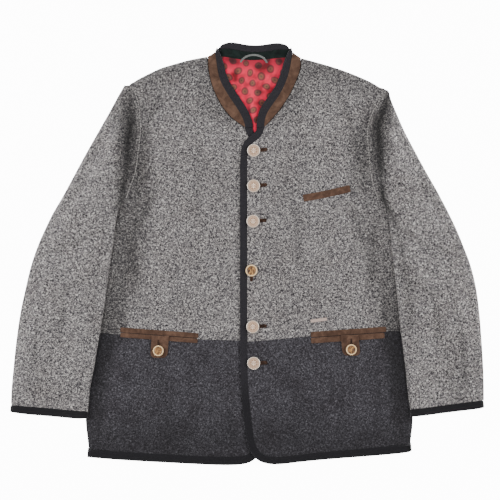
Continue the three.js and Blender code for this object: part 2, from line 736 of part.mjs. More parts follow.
// Braid centre lines of the two fronts and the wool's border beside them
function frontEdge(corner, low, hem, turn) {
  const cornerPoints = corner.map(point);
  const lowPoints = low.map(point);
  const start = cornerPoints[cornerPoints.length - 1];
  const straight = [];
  for (let i = 1; i < CENTRE_ROWS; i += 1) {
    straight.push(start.clone().lerp(lowPoints[0], i / CENTRE_ROWS));
  }
  const path = [...cornerPoints, ...straight, ...lowPoints, ...hem.slice(1).map(point)];
  const border = movedSideways(path, turn * BRAID_INSET);
  const upperCount = cornerPoints.length + straight.length + 1;
  const lowEnd = upperCount + lowPoints.length - 1;
  return {
    path,
    upper: border.slice(1, upperCount),
    low: border.slice(upperCount - 1, lowEnd),
    hem: border.slice(lowEnd - 1),
  };
}

const LEFT_EDGE = frontEdge(LEFT_NECK_CORNER, LEFT_EDGE_LOW, LEFT_HEM, -1);
const RIGHT_EDGE = frontEdge(RIGHT_NECK_CORNER, RIGHT_EDGE_LOW, RIGHT_HEM, 1);

function neckSeam(rows) {
  return rows.map((row) => new THREE.Vector3(row.seamX, row.seamY, 0));
}

function buildFront(label, body, edge, neck) {
  const front = [body.shoulder[body.shoulder.length - 1], ...neck, ...edge.upper];
  const sideRows = front.length - body.armhole.length;
  const belowArm = spaced([body.armhole[body.armhole.length - 1], ...body.side], sideRows + 1);
  const side = [...body.armhole, ...belowArm.slice(1)];
  const top = sharesOf(body.shoulder, FRONT_SPREAD);
  const yokeRows = body.yoke.map(point);
  yokeRows[yokeRows.length - 1].copy(front[front.length - 1]);
  const yoke = sharesOf(yokeRows, FRONT_SPREAD);
  const heightAt = (x, y) => frontHeight(body, x, y);
  layWool(`front_${label}_upper`, patch(top, yoke, side, front, FRONT_SPREAD), heightAt, 'greyWool');

  const lowTop = yoke.map((p) => p.clone().setY(p.y - SEAM_GAP));
  const lowFront = edge.low.map((p) => p.clone());
  lowFront[0].copy(lowTop[lowTop.length - 1]);
  const lowSide = spaced(body.sideLow, lowFront.length);
  lowSide[0].copy(lowTop[0]);
  const hem = [...edge.hem].reverse();
  hem[0].copy(lowSide[lowSide.length - 1]);
  const low = patch(lowTop, sharesOf(hem, FRONT_SPREAD), lowSide, lowFront, FRONT_SPREAD);
  layWool(`front_${label}_lower`, low, heightAt, 'darkWool');
}

// Back: flat plates with the outline of the shoulders, armholes, sides and hem

function plate(outline, thickness, base) {
  const shape = new THREE.Shape(outline.map((p) => new THREE.Vector2(p.x, p.y)));
  const geometry = new THREE.ExtrudeGeometry(shape, { depth: thickness, bevelEnabled: false });
  geometry.translate(0, 0, base);
  return geometry;
}

function buildBack() {
  const neck = [COLLAR_LEFT_FOLD, ...COLLAR_BACK, COLLAR_RIGHT_FOLD];
  const yokeLine = [...LEFT.yoke.slice(0, -1), ...RIGHT.yoke.slice(0, -1).reverse()].map(point);
  const upper = [
    ...neckSeam(neck).reverse(),
    ...LEFT.shoulder.slice().reverse(),
    ...LEFT.armhole.slice(1),
    ...LEFT.side,
    ...yokeLine.slice(1, -1),
    ...RIGHT.side.slice().reverse(),
    ...RIGHT.armhole.slice(1).reverse(),
    ...RIGHT.shoulder,
  ];
  add('back_upper', plate(upper, WOOL, 0), 'greyWool');
  const hem = movedSideways(BACK_HEM.map(point), BRAID_INSET);
  const lower = [
    ...yokeLine.slice().reverse().map((p) => p.clone().setY(p.y - SEAM_GAP)),
    ...LEFT.sideLow.slice(1, -1),
    ...hem,
    ...RIGHT.sideLow.slice(1, -1).reverse(),
  ];
  add('back_lower', plate(lower, WOOL, 0), 'darkWool');
}

// Sleeves

const SLEEVE_OUT = [0, 0.05, 0.14, 0.3, 0.5, 0.7, 0.86, 1];
const SLEEVE_IN = [0.3, 0.6, 1];
const UNDER_OUT = [0, 0.14, 0.5, 0.86, 1];
const UNDER_IN = [0.6, 1];

// Place on a sleeve between its outer edge and the fold, with the rise of the under piece and
// the air between the two pieces
function beforeFold(row, share) {
  const width = Math.hypot(row.foldX - row.outerX, row.foldY - row.outerY);
  const toFold = (1 - share) * width;
  const fall = Math.min(SLEEVE_FALL, width - row.over);
  return {
    x: THREE.MathUtils.lerp(row.outerX, row.foldX, share),
    y: THREE.MathUtils.lerp(row.outerY, row.foldY, share),
    rise: row.lift * (1 - ease((toFold - row.over) / fall)),
    air: SLEEVE_PUFF * round((share * width) / ROUNDING),
  };
}

// Place between the fold and the inner edge. joined is 0 at the armhole and 1 below the armpit.
function afterFold(row, share, joined) {
  const edgeAir = (SLEEVE_SEAM_PUFF / SLEEVE_PUFF) * (1 - joined);
  const width = Math.hypot(row.foldX - row.outerX, row.foldY - row.outerY);
  const air = SLEEVE_PUFF * round(width / ROUNDING);
  return {
    x: THREE.MathUtils.lerp(row.foldX, row.innerX, share),
    y: THREE.MathUtils.lerp(row.foldY, row.innerY, share),
    rise: row.lift * THREE.MathUtils.lerp(1 - ease(share / FOLD_FALL_SHARE), 1, joined),
    air: air * THREE.MathUtils.lerp(edgeAir, 1, round(1 - share)),
  };
}

function sleevePlaces(body, outShares, inShares) {
  const armpitY = body.sleeve[ARMPIT_ROW * SLEEVE_STEPS].innerY;
  return body.sleeve.map((row) => {
    const joined = ease((armpitY + JOIN_LENGTH - row.innerY) / JOIN_LENGTH);
    return [
      ...outShares.map((share) => beforeFold(row, share)),
      ...inShares.map((share) => afterFold(row, share, joined)),
    ];
  });
}

// Upward directions on a grid of points
function normalsOf(grid) {
  const lastRow = grid.length - 1;
  const lastColumn = grid[0].length - 1;
  return grid.map((row, r) => row.map((p, c) => {
    const across = row[Math.min(c + 1, lastColumn)].clone().sub(row[Math.max(c - 1, 0)]);
    const down = grid[Math.min(r + 1, lastRow)][c].clone().sub(grid[Math.max(r - 1, 0)][c]);
    const normal = across.cross(down).normalize();
    return normal.z < 0 ? normal.negate() : normal;
  }));
}

function thickened(outer, thickness) {
  const normals = normalsOf(outer);
  return outer.map((row, r) => row.map((p, c) => p.clone().addScaledVector(normals[r][c], -thickness)));
}

function buildSleeve(label, body) {
  const under = sleevePlaces(body, UNDER_OUT, UNDER_IN)
    .map((row) => row.map(({ x, y, rise }) => new THREE.Vector3(x, y, rise + WOOL)));
  add(`sleeve_${label}_under`, wall(under, thickened(under, WOOL)), 'greyWool');
  const top = sleevePlaces(body, SLEEVE_OUT, SLEEVE_IN).map((row) => row.map(({ x, y, rise, air }) => {
    const crease = foldRise(SLEEVE_FOLDS, x, y) * (air / SLEEVE_PUFF);
    return new THREE.Vector3(x, y, rise + WOOL + SEAM_GAP + air + crease + WOOL);
  }));
  add(`sleeve_${label}_top`, wall(top, thickened(top, WOOL)), 'greyWool');
}

// Braid round a cuff: a flattened loop along the top piece and back along the under piece
function buildCuff(label, body) {
  const places = sleevePlaces(body, SLEEVE_OUT, SLEEVE_IN);
  const row = places[places.length - 1];
  const first = new THREE.Vector3(row[0].x, row[0].y, 0);
  const last = new THREE.Vector3(row[row.length - 1].x, row[row.length - 1].y, 0);
  const along = last.clone().sub(first).normalize();
  const length = last.distanceTo(first);
  const down = new THREE.Vector3(along.y, -along.x, 0);
  down.multiplyScalar(Math.sign(-down.y));
  const turnRadius = (BRAID_THICKNESS + SEAM_GAP) / 2;
  const margin = turnRadius + BRAID_THICKNESS / 2;
  const onLine = (place) => {
    const distance = Math.hypot(place.x - first.x, place.y - first.y);
    const far = THREE.MathUtils.clamp(distance, margin, length - margin);
    return first.clone().addScaledVector(along, far).addScaledVector(down, BRAID_INSET);
  };
  const topStart = BRAID_THICKNESS * 1.5 + SEAM_GAP;
  const topHeight = (place) => place.rise + Math.max(topStart, WOOL * 1.5 + SEAM_GAP + place.air);
  const upperPath = row.map((place) => onLine(place).setZ(topHeight(place)));
  const lowerPath = row.map((place) => onLine(place).setZ(place.rise + BRAID_THICKNESS / 2));
  const turnAt = (index, sign) => [-45, 0, 45].map((degrees) => {
    const angle = THREE.MathUtils.degToRad(degrees);
    const middle = (upperPath[index].z + lowerPath[index].z) / 2;
    const reach = (upperPath[index].z - lowerPath[index].z) / 2;
    return lowerPath[index].clone()
      .addScaledVector(along, sign * turnRadius * Math.cos(angle))
      .setZ(middle + reach * Math.sin(angle));
  });
  const end = row.length - 1;
  const path = [
    ...upperPath,
    ...turnAt(end, 1).reverse(),
    ...lowerPath.slice().reverse(),
    ...turnAt(0, -1),
  ];
  const rings = path.map((p, i) => {
    const ahead = path[(i + 1) % path.length].clone().sub(path[(i + path.length - 1) % path.length]);
    const normal = down.clone().cross(ahead).normalize();
    return stripRing(p, down, normal, BRAID_WIDTH, BRAID_THICKNESS);
  });
  add(`braid_cuff_${label}`, bar(rings, true), 'braid');
}

// Stand collar

// A section of the collar: its ends on the neck seam and on the braid and its outer direction
function section(row, height, normal, shift = new THREE.Vector3()) {
  const seam = new THREE.Vector3(row.seamX, row.seamY, height).add(shift);
  const edge = new THREE.Vector3(row.edgeX, row.edgeY, height).add(shift);
  return { seam, edge, normal };
}

// Half a turn of the collar about its fold, from the front layer to the back layer
function foldSections(row, outward) {
  const across = new THREE.Vector3(row.edgeX - row.seamX, row.edgeY - row.seamY, 0).normalize();
  const out = new THREE.Vector3(-across.y, across.x, 0).multiplyScalar(outward);
  const sections = [];
  for (let i = 0; i <= FOLD_STEPS; i += 1) {
    const angle = (Math.PI * i) / FOLD_STEPS;
    const normal = out.clone().multiplyScalar(Math.sin(angle)).setZ(Math.cos(angle));
    const shift = normal.clone().multiplyScalar(FOLD_RADIUS);
    sections.push(section(row, BAND_BACK_HEIGHT + FOLD_RADIUS, normal, shift));
  }
  return sections;
}

function collarSections() {
  const bandDrop = FRONT_HEIGHT - BAND_BACK_HEIGHT - 2 * FOLD_RADIUS;
  const levelOn = (body, row) => frontLevel(body, row.seamX, row.seamY) - bandDrop;
  const onFront = (body) => (row) => section(row, levelOn(body, row), UP.clone());
  return [
    ...COLLAR_LEFT.map(onFront(LEFT)),
    ...foldSections(COLLAR_LEFT_FOLD, 1),
    ...COLLAR_BACK.map((row) => section(row, BAND_BACK_HEIGHT, UP.clone().negate())),
    ...foldSections(COLLAR_RIGHT_FOLD, -1).reverse(),
    ...COLLAR_RIGHT.map(onFront(RIGHT)),
  ];
}

// One layer of the collar between two distances from its middle face
function collarLayer(name, sections, from, to, colour) {
  const grids = [to, from].map((offset) => sections.map(({ seam, edge, normal }) => {
    const across = edge.clone().sub(seam);
    const length = across.length();
    across.normalize();
    const far = Math.max(length - BRAID_WIDTH / 2 - BAND_BRAID_GAP, BAND_SEAM_GAP + SEAM_GAP);
    return [0, 1 / 3, 2 / 3, 1].map((share) => seam.clone()
      .addScaledVector(across, THREE.MathUtils.lerp(BAND_SEAM_GAP, far, share))
      .addScaledVector(normal, offset));
  }));
  add(name, wall(grids[0], grids[1]), colour);
}

function buildCollar() {
  const sections = collarSections();
  const half = BAND_LAYER_GAP + SUEDE;
  collarLayer('collar_suede', sections, BAND_LAYER_GAP, half, 'suede');
  collarLayer('collar_felt', sections, -half, -BAND_LAYER_GAP, 'felt');
  const rings = sections.map(({ seam, edge, normal }) => {
    const across = edge.clone().sub(seam).normalize();
    return stripRing(edge, across, normal, BRAID_WIDTH, BRAID_THICKNESS);
  });
  add('braid_collar', bar(rings, false), 'braid');
}

// Braid on the open edges

function buildBraid(name, path, heightAt) {
  const rings = path.map((p, i) => {
    const centre = p.clone().setZ(heightAt(p));
    return stripRing(centre, sideways(path, i), UP, BRAID_WIDTH, BRAID_THICKNESS);
  });
  add(name, bar(rings, false), 'braid');
}

function buildEdgeBraids() {
  const onFront = (body) => (p) => frontLevel(body, p.x, p.y) - WOOL / 2;
  buildBraid('braid_front_left', LEFT_EDGE.path, onFront(LEFT));
  buildBraid('braid_front_right', RIGHT_EDGE.path, onFront(RIGHT));
  buildBraid('braid_back_hem', BACK_HEM.map(point), () => BRAID_THICKNESS / 2);
}

// Lining and hanger loop in the neck opening

function buildNeck() {
  const seam = neckSeam(COLLAR_BACK).reverse().map((p) => p.setY(p.y - SEAM_GAP));
  const outline = [...NECK_LINING.map(point), ...seam];
  add('neck_lining', plate(outline, LINING, WOOL + SEAM_GAP), 'satin', 0.4);
  const route = refine(LOOP_ROUTE, 2).map((row) => point(row).setZ(LOOP_HEIGHT));
  const rings = route.map((p, i) => stripRing(p, sideways(route, i), UP, LOOP_WIDTH, LOOP_THICKNESS));
  add('hanger_loop', bar(rings, false), 'ribbon', 0.6);
}

// Trimmings that lie on the fronts

// Padded strip below a line, of the given height, that may sag in the middle
function buildWelt({ name, x0, y0, x1, y1, height, bend }) {
  const along = new THREE.Vector3(x1 - x0, y1 - y0, 0).normalize();
  const down = new THREE.Vector3(along.y, -along.x, 0);
  const outer = [];
  const inner = [];
  for (let i = 0; i <= WELT_LENGTH_STEPS; i += 1) {
    const t = i / WELT_LENGTH_STEPS;
    const sag = bend * 4 * t * (1 - t);
    const line = WELT_SHARES.map((share) => new THREE.Vector3(
      THREE.MathUtils.lerp(x0, x1, t),
      THREE.MathUtils.lerp(y0, y1, t),
      0,
    ).addScaledVector(down, share * height + sag));
    const lying = line.map((p) => p.setZ(clothHeight(p.x, p.y) + SEAM_GAP));
    const fullness = WELT_SHARES.map((share) => (share === 0 || share === 1 ? WELT_EDGE_SHARE : 1));
    inner.push(lying);
    outer.push(lying.map((p, k) => p.clone().setZ(p.z + WELT_THICKNESS * fullness[k])));
  }
  add(name, wall(outer, inner), 'suede');
}

// Half width of a tab with round lower corners, at a distance from its foot
function tabHalfWidth(tab, toFoot) {
  const corner = THREE.MathUtils.clamp(TAB_ROUNDING - toFoot, 0, TAB_ROUNDING - TAB_FOOT_CUT);
  const cut = TAB_ROUNDING - Math.sqrt(TAB_ROUNDING * TAB_ROUNDING - corner * corner);
  return tab.width / 2 - cut;
}

// Height of a tab's lower face: over the lower welt and then down onto the wool
function tabBase(x, y, fromSlit) {
  const overWelt = WELT_THICKNESS + 2 * SEAM_GAP;
  const pastWelt = ease((fromSlit - TAB_STEP_START) / TAB_STEP_LENGTH);
  return clothHeight(x, y) + THREE.MathUtils.lerp(overWelt, SEAM_GAP, pastWelt);
}

function buildTab(tab) {
  const shares = [0, 0.18, 0.3, 0.39, 0.54, 0.68, 0.8, 0.88, 0.94, 0.98, 1];
  const lean = (tab.footX - tab.x) / tab.length;
  const inner = shares.map((share) => {
    const fromSlit = share * tab.length;
    const half = tabHalfWidth(tab, tab.length - fromSlit);
    return [-1, -0.5, 0, 0.5, 1].map((side) => {
      const x = tab.x + lean * fromSlit + side * half;
      const y = tab.y - fromSlit;
      return new THREE.Vector3(x, y, tabBase(x, y, fromSlit));
    });
  });
  const outer = inner.map((row) => row.map((p) => p.clone().setZ(p.z + TAB_THICKNESS)));
  add(tab.name, wall(outer, inner), 'suede');
}

// Suede edging of the upright buttonhole of a tab, which follows the tab's face
function buildTabHole(name, button, tab) {
  const inner = [];
  for (let i = 0; i <= TAB_HOLE_STEPS; i += 1) {
    const y = button.y + THREE.MathUtils.lerp(-HOLE_START, button.hole - HOLE_START, i / TAB_HOLE_STEPS);
    const z = tabBase(button.x, y, tab.y - y) + TAB_THICKNESS + SEAM_GAP;
    inner.push([-0.5, 0, 0.5].map((side) => new THREE.Vector3(button.x + side * HOLE_WIDTH, y, z)));
  }
  const outer = inner.map((row) => row.map((p) => p.clone().setZ(p.z + HOLE_THICKNESS)));
  add(name, wall(outer, inner), 'suede');
}

// Suede edging of a buttonhole, a thin bar with round ends
function buildHole(name, x, y, base, length, tilt) {
  const radius = HOLE_WIDTH / 2;
  const shape = new THREE.Shape();
  shape.absarc(length - HOLE_START - radius, 0, radius, -Math.PI / 2, Math.PI / 2, false);
  shape.absarc(radius - HOLE_START, 0, radius, Math.PI / 2, (3 * Math.PI) / 2, false);
  const geometry = new THREE.ExtrudeGeometry(shape, {
    depth: HOLE_THICKNESS,
    bevelEnabled: false,
    curveSegments: HOLE_CURVE_STEPS,
  });
  const mesh = add(name, geometry, 'suede');
  mesh.rotation.z = THREE.MathUtils.degToRad(tilt);
  mesh.position.set(x, y, base);
}

// Outlines of half a button: distance from the middle as a share of the radius, and height
const SILVER_PROFILE = [
  { r: 0, z: 0 }, { r: 0.34, z: 0 }, { r: 0.34, z: 1 }, { r: 0.9, z: 1 }, { r: 1, z: 1.9 },
  { r: 1, z: 2.8 }, { r: 0.92, z: 3.5 }, { r: 0.82, z: 3.1 }, { r: 0, z: 3.9 },
];
const HORN_PROFILE = [
  { r: 0, z: 0 }, { r: 0.34, z: 0 }, { r: 0.34, z: 1 }, { r: 0.86, z: 1 }, { r: 1, z: 2.2 },
  { r: 1, z: 3.4 }, { r: 0.9, z: 4.2 }, { r: 0.74, z: 3.8 }, { r: 0.6, z: 2.8 }, { r: 0, z: 2.6 },
];

function buildButton(name, x, y, base, size, kind) {
  const profile = kind === 'silver' ? SILVER_PROFILE : HORN_PROFILE;
  const outline = profile.map(({ r, z }) => new THREE.Vector2((r * size) / 2, z));
  const geometry = new THREE.LatheGeometry(outline, BUTTON_SIDES);
  geometry.rotateX(Math.PI / 2);
  const mesh = add(name, geometry, kind, 0.35, kind === 'silver' ? 1 : 0);
  mesh.position.set(x, y, base);
}

// Highest point of a round place on the fronts
function highestAround(x, y, radius) {
  let height = clothHeight(x, y);
  for (let i = 0; i < PLACES_AROUND; i += 1) {
    const angle = (i * 2 * Math.PI) / PLACES_AROUND;
    height = Math.max(height, clothHeight(x + radius * Math.cos(angle), y + radius * Math.sin(angle)));
  }
  return height;
}

function buildButtons() {
  FRONT_BUTTONS.forEach((button, i) => {
    const base = highestAround(button.x, button.y, button.size) + SEAM_GAP;
    buildHole(`buttonhole_${i + 1}`, button.x, button.y, base, button.hole, button.tilt);
    const seat = base + HOLE_THICKNESS + SEAM_GAP;
    buildButton(button.name, button.x, button.y, seat, button.size, button.kind);
  });
  for (const button of POCKET_BUTTONS) {
    const tab = TABS[button.tab];
    buildTabHole(`buttonhole_${tab.name}`, button, tab);
    const onTab = [-POCKET_BUTTON / 2, 0, POCKET_BUTTON / 2].map((step) => {
      const place = button.y + step;
      return tabBase(button.x, place, tab.y - place) + TAB_THICKNESS;
    });
    const seat = Math.max(onTab[0], onTab[1]) + HOLE_THICKNESS + 2 * SEAM_GAP;
    buildButton(button.name, button.x, button.y, seat, POCKET_BUTTON, 'horn');
  }
}

function buildBar() {
  const base = highestAround(BAR.x, BAR.y, BAR.length / 2) + SEAM_GAP;
  const geometry = new THREE.BoxGeometry(BAR.length, BAR.width, BAR.thickness);
  const mesh = add('metal_bar', geometry, 'tag', 0.4, 1);
  mesh.rotation.z = THREE.MathUtils.degToRad(BAR.tilt);
  mesh.position.set(BAR.x, BAR.y, base + BAR.thickness / 2);
}

buildFront('left', LEFT, LEFT_EDGE, neckSeam([...COLLAR_LEFT, COLLAR_LEFT_FOLD]).reverse());
buildFront('right', RIGHT, RIGHT_EDGE, neckSeam([COLLAR_RIGHT_FOLD, ...COLLAR_RIGHT]));
buildBack();
buildSleeve('left', LEFT);
buildSleeve('right', RIGHT);
buildCuff('left', LEFT);
buildCuff('right', RIGHT);
buildCollar();
buildEdgeBraids();
buildNeck();
WELTS.forEach(buildWelt);
TABS.forEach(buildTab);
buildButtons();
buildBar();

export default jacket;
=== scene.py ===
# %% [markdown]
# A boiled wool jacket in the trachten style lies on its back on a pale floor.
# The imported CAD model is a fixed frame: each piece here is made on the form of its solid and
# then takes the solid's place. All lengths are in metres, and MM turns millimetres into them.

# %% Load the frame
import math

import bmesh
import bpy
import numpy as np
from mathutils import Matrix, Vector
from mathutils.bvhtree import BVHTree
from mathutils.geometry import delaunay_2d_cdt


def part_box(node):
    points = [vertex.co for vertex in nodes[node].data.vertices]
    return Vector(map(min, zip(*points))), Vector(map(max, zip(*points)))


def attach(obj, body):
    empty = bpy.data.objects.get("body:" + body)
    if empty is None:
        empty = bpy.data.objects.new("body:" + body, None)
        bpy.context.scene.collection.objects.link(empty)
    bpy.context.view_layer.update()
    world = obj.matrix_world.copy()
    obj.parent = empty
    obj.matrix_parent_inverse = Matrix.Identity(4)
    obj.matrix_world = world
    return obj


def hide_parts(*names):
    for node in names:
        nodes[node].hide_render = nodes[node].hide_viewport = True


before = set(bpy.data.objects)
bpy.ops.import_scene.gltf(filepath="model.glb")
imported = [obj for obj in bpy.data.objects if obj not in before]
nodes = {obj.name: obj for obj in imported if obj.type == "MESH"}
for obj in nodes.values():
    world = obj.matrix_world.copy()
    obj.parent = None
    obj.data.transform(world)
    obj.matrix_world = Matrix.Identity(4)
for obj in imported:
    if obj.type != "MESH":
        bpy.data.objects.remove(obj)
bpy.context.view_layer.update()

MM = 0.001

# %% [markdown]
# The picture was taken from straight above, so the camera hangs over the middle of the view and
# looks down. A long lens from 2.5 m keeps the flat garment free of perspective. The scale comes
# from the front buttons, which are 24 mm across and 13 pixels wide in the picture.

# %% Camera
PIXEL = 1.85 * MM
PICTURE = 500
VIEW_MIDDLE = Vector((3.7, 5.9, 8.0)) * MM
CAMERA_HEIGHT = 2.5
SENSOR = 36.0

camera_data = bpy.data.cameras.new("camera")
camera_data.sensor_width = SENSOR
camera_data.lens = SENSOR * CAMERA_HEIGHT / (PICTURE * PIXEL)
camera = bpy.data.objects.new("camera", camera_data)
camera.location = VIEW_MIDDLE + Vector((0, 0, CAMERA_HEIGHT))
bpy.context.scene.collection.objects.link(camera)
bpy.context.scene.camera = camera
print("lens", round(camera_data.lens, 1), "mm")

# %% [markdown]
# Materials are trees of small nodes. One helper adds a node with its settings and links, and one
# turns the hex colours that a colour picker shows (sRGB) into the linear values that light needs.

# %% Helpers for materials
def linear(code):
    """Linear RGBA of an sRGB hex colour."""
    parts = [int(code[i:i + 2], 16) / 255 for i in (1, 3, 5)]
    return [c / 12.92 if c <= 0.04045 else ((c + 0.055) / 1.055) ** 2.4 for c in parts] + [1.0]


def output_of(source):
    """A socket itself, or the first output of a node."""
    return source.outputs[0] if isinstance(source, bpy.types.Node) else source


def add_node(tree, kind, settings=(), links=()):
    """A new node. A setting is an input's name or number or an attribute, and stops fill a ramp."""
    node = tree.nodes.new(f"ShaderNode{kind}")
    for key, value in dict(settings).items():
        if key == "stops":
            ramp = node.color_ramp
            while len(ramp.elements) < len(value):
                ramp.elements.new(0.5)
            for element, (place, code) in zip(ramp.elements, value):
                element.position = place
                element.color = linear(code)
        elif isinstance(key, int) or key in node.inputs:
            node.inputs[key].default_value = value
        else:
            setattr(node, key, value)
    for key, source in dict(links).items():
        tree.links.new(output_of(source), node.inputs[key])
    return node


def new_material(name, **surface):
    """A material with these values on its shader, and its node tree and shader."""
    material = bpy.data.materials.new(name)
    material.use_nodes = True
    shader = material.node_tree.nodes["Principled BSDF"]
    for key, value in surface.items():
        shader.inputs[key.replace("_", " ")].default_value = value
    return material, material.node_tree, shader


def give_finish(tree, shader, colour, height=None, strength=0.0, depth=0.0):
    """Links a colour to the shader and, where there is a height, the small relief of the surface."""
    tree.links.new(output_of(colour), shader.inputs["Base Color"])
    if height is not None:
        bump = add_node(tree, "Bump", {"Strength": strength, "Distance": depth}, {"Height": height})
        tree.links.new(bump.outputs[0], shader.inputs["Normal"])


def per_metre(size):
    """Scale of a texture whose features have this size."""
    return 1.0 / size


print("linear mid grey", round(linear("#808080")[0], 3))

# %% [markdown]
# Boiled wool is knitted, then shrunk and felted until the loops vanish. Light and dark fibres are
# mixed in the yarn, so the cloth looks salt-and-pepper: worm-like flecks a few millimetres long.
# A noise that is bent by distortion gives such flecks. A finer noise stands for single fibres,
# drawn coarser than they are so that they show, and a slow one for the uneven wash of the dye. The
# first two also roughen the surface. Wool scatters light in its nap, so it is matt and has a weak
# sheen. Shade is painted into the colour as well, towards a near-black tone, by a measure that
# each panel carries: in folds, beside the sleeves and in other places where shade falls.

# %% Boiled wool
FLECK = 2.6 * MM
FIBRE = 1.5 * MM
FIBRE_SHARE = 0.34
WASH = 45 * MM
WOOL_NAP = 0.9 * MM
# Near-black tone towards which painted shade darkens the wool
PAINTED_SHADE_TONE = "#0c0b0c"


def boiled_wool(name, flecks, tint, sheen):
    """Felted melange cloth: flecks are stops of a colour ramp, tint the colour of its slow wash."""
    material, tree, shader = new_material(
        name, Roughness=0.95, IOR=1.5, Specular_IOR_Level=0.15, Sheen_Weight=sheen, Sheen_Roughness=0.6)
    place = add_node(tree, "TexCoord").outputs["Object"]
    fleck = add_node(tree, "TexNoise", {
        "Scale": per_metre(FLECK), "Detail": 2.0, "Roughness": 0.55, "Distortion": 1.1}, {"Vector": place})
    fibre = add_node(tree, "TexNoise", {
        "Scale": per_metre(FIBRE), "Detail": 3.0, "Roughness": 0.6, "Distortion": 0.4}, {"Vector": place})
    wash = add_node(tree, "TexNoise", {"Scale": per_metre(WASH), "Detail": 3.0, "Roughness": 0.6},
                    {"Vector": place})
    both = add_node(tree, "Math", {"operation": "MULTIPLY_ADD", 1: FIBRE_SHARE}, {0: fibre, 2: fleck})
    mixed = add_node(tree, "Math", {"operation": "SUBTRACT", 1: FIBRE_SHARE / 2}, {0: both})
    colour = add_node(tree, "ValToRGB", {"stops": flecks}, {"Fac": mixed})
    washed = add_node(tree, "MapRange", {"From Min": 0.4, "From Max": 0.75, "To Max": 0.45}, {"Value": wash})
    blend = add_node(tree, "Mix", {"data_type": "RGBA", "blend_type": "SOFT_LIGHT", 7: linear(tint)},
                     {0: washed, 6: colour})
    # Painted shade: the colour is darkened towards a near-black tone by each panel's painted shade measure
    pressed = add_node(tree, "Attribute", {"attribute_name": "pressed"})
    shaded_wool = add_node(tree, "Mix", {"data_type": "RGBA", 7: linear(PAINTED_SHADE_TONE)},
                     {0: pressed.outputs["Fac"], 6: blend.outputs[2]})
    give_finish(tree, shader, shaded_wool.outputs[2], mixed, 0.8, WOOL_NAP)
    return material


grey_wool = boiled_wool(
    "grey melange boiled wool",
    [(0.31, "#1d1b1e"), (0.42, "#434144"), (0.50, "#6b6769"), (0.58, "#96928f"), (0.69, "#d2ceca")],
    "#8a8482", 0.12)
dark_wool = boiled_wool(
    "anthracite melange boiled wool",
    [(0.30, "#1c1b1e"), (0.43, "#2b292d"), (0.51, "#3a383d"), (0.59, "#4c4a4f"), (0.71, "#6c6a70")],
    "#5a4a4c", 0.1)
print("wool", grey_wool.name, dark_wool.name)

# %% [markdown]
# The edges are bound with wool braid, a narrow woven tape with a rib across it. Its ribs are
# 1.6 mm apart. They follow two measures that each strip of braid carries: how far along the strip
# a point lies, and how far from its middle. Painted shade darkens the braid at the hem and cuffs.

# %% Wool braid
RIB = 1.6 * MM
RIB_SLANT = 0.5
RIB_SHARE = 0.25
BRAID_FUZZ = 1.2 * MM
BRAID_NAP = 0.5 * MM
BRAID_SHADE = 0.5
BRAID_SHADE_START = -220 * MM
BRAID_SHADE_END = -280 * MM


def wool_braid():
    """Ribbed tape whose ribs run across the strip."""
    material, tree, shader = new_material(
        "black wool braid", Roughness=0.9, IOR=1.5, Specular_IOR_Level=0.2, Sheen_Weight=0.08,
        Sheen_Roughness=0.5)
    place = add_node(tree, "TexCoord").outputs["Object"]
    along = add_node(tree, "Attribute", {"attribute_name": "along"})
    across = add_node(tree, "Attribute", {"attribute_name": "across"})
    slant = add_node(tree, "Math", {"operation": "MULTIPLY_ADD", 1: RIB_SLANT},
                     {0: across.outputs["Fac"], 2: along.outputs["Fac"]})
    turns = add_node(tree, "Math", {"operation": "MULTIPLY", 1: 2 * math.pi / RIB}, {0: slant})
    rib = add_node(tree, "Math", {"operation": "SINE"}, {0: turns})
    fuzz = add_node(tree, "TexNoise", {"Scale": per_metre(BRAID_FUZZ), "Detail": 3.0, "Roughness": 0.65},
                    {"Vector": place})
    height = add_node(tree, "Math", {"operation": "MULTIPLY_ADD", 1: RIB_SHARE}, {0: rib, 2: fuzz})
    colour = add_node(tree, "ValToRGB", {"stops": [(0.25, "#141316"), (0.55, "#252327"), (0.85, "#3b393f")]},
                      {"Fac": height})
    # Painted shade: the braid darkens towards near black below Y -220 mm, fully at -280 mm
    part = add_node(tree, "SeparateXYZ", {}, {"Vector": place})
    shaded = add_node(tree, "MapRange", {
        "From Min": BRAID_SHADE_START, "From Max": BRAID_SHADE_END, "To Max": BRAID_SHADE},
        {"Value": part.outputs["Y"]})
    tone = add_node(tree, "Mix", {"data_type": "RGBA", 7: linear("#08080a")}, {0: shaded, 6: colour})
    give_finish(tree, shader, tone.outputs[2], height, 0.7, BRAID_NAP)
    return material


braid = wool_braid()
print("braid", braid.name)

# %% [markdown]
# Suede is leather with its flesh side out, sanded to a short nap. The nap lies in patches, some
# stroked light and some dark, which a slow stretched noise gives, and pores show as a fine grain.
# Wool felt has no direction at all, so fine noises are enough for it.

# %% Suede and felt
SUEDE_PATCH = 14 * MM
SUEDE_GRAIN = 0.8 * MM
SUEDE_NAP = 0.4 * MM
EDGING_PATCH = 6 * MM
FELT_PATCH = 20 * MM
FELT_GRAIN = 1.1 * MM
FELT_NAP = 0.5 * MM
GRAIN_SHARE = 0.35


def napped(name, colours, patch_size, grain_size, nap, sheen):
    """Soft matt skin or felt with light and dark patches and a fine grain."""
    material, tree, shader = new_material(
        name, Roughness=0.92, IOR=1.5, Specular_IOR_Level=0.15, Sheen_Weight=sheen, Sheen_Roughness=0.5)
    place = add_node(tree, "TexCoord").outputs["Object"]
    patch = add_node(tree, "TexNoise", {
        "Scale": per_metre(patch_size), "Detail": 4.0, "Roughness": 0.6, "Distortion": 0.6},
        {"Vector": place})
    grain = add_node(tree, "TexNoise", {"Scale": per_metre(grain_size), "Detail": 2.0, "Roughness": 0.7},
                     {"Vector": place})
    both = add_node(tree, "Math", {"operation": "MULTIPLY_ADD", 1: GRAIN_SHARE}, {0: grain, 2: patch})
    colour = add_node(tree, "ValToRGB", {"stops": colours}, {"Fac": both})
    give_finish(tree, shader, colour, grain, 0.6, nap)
    return material


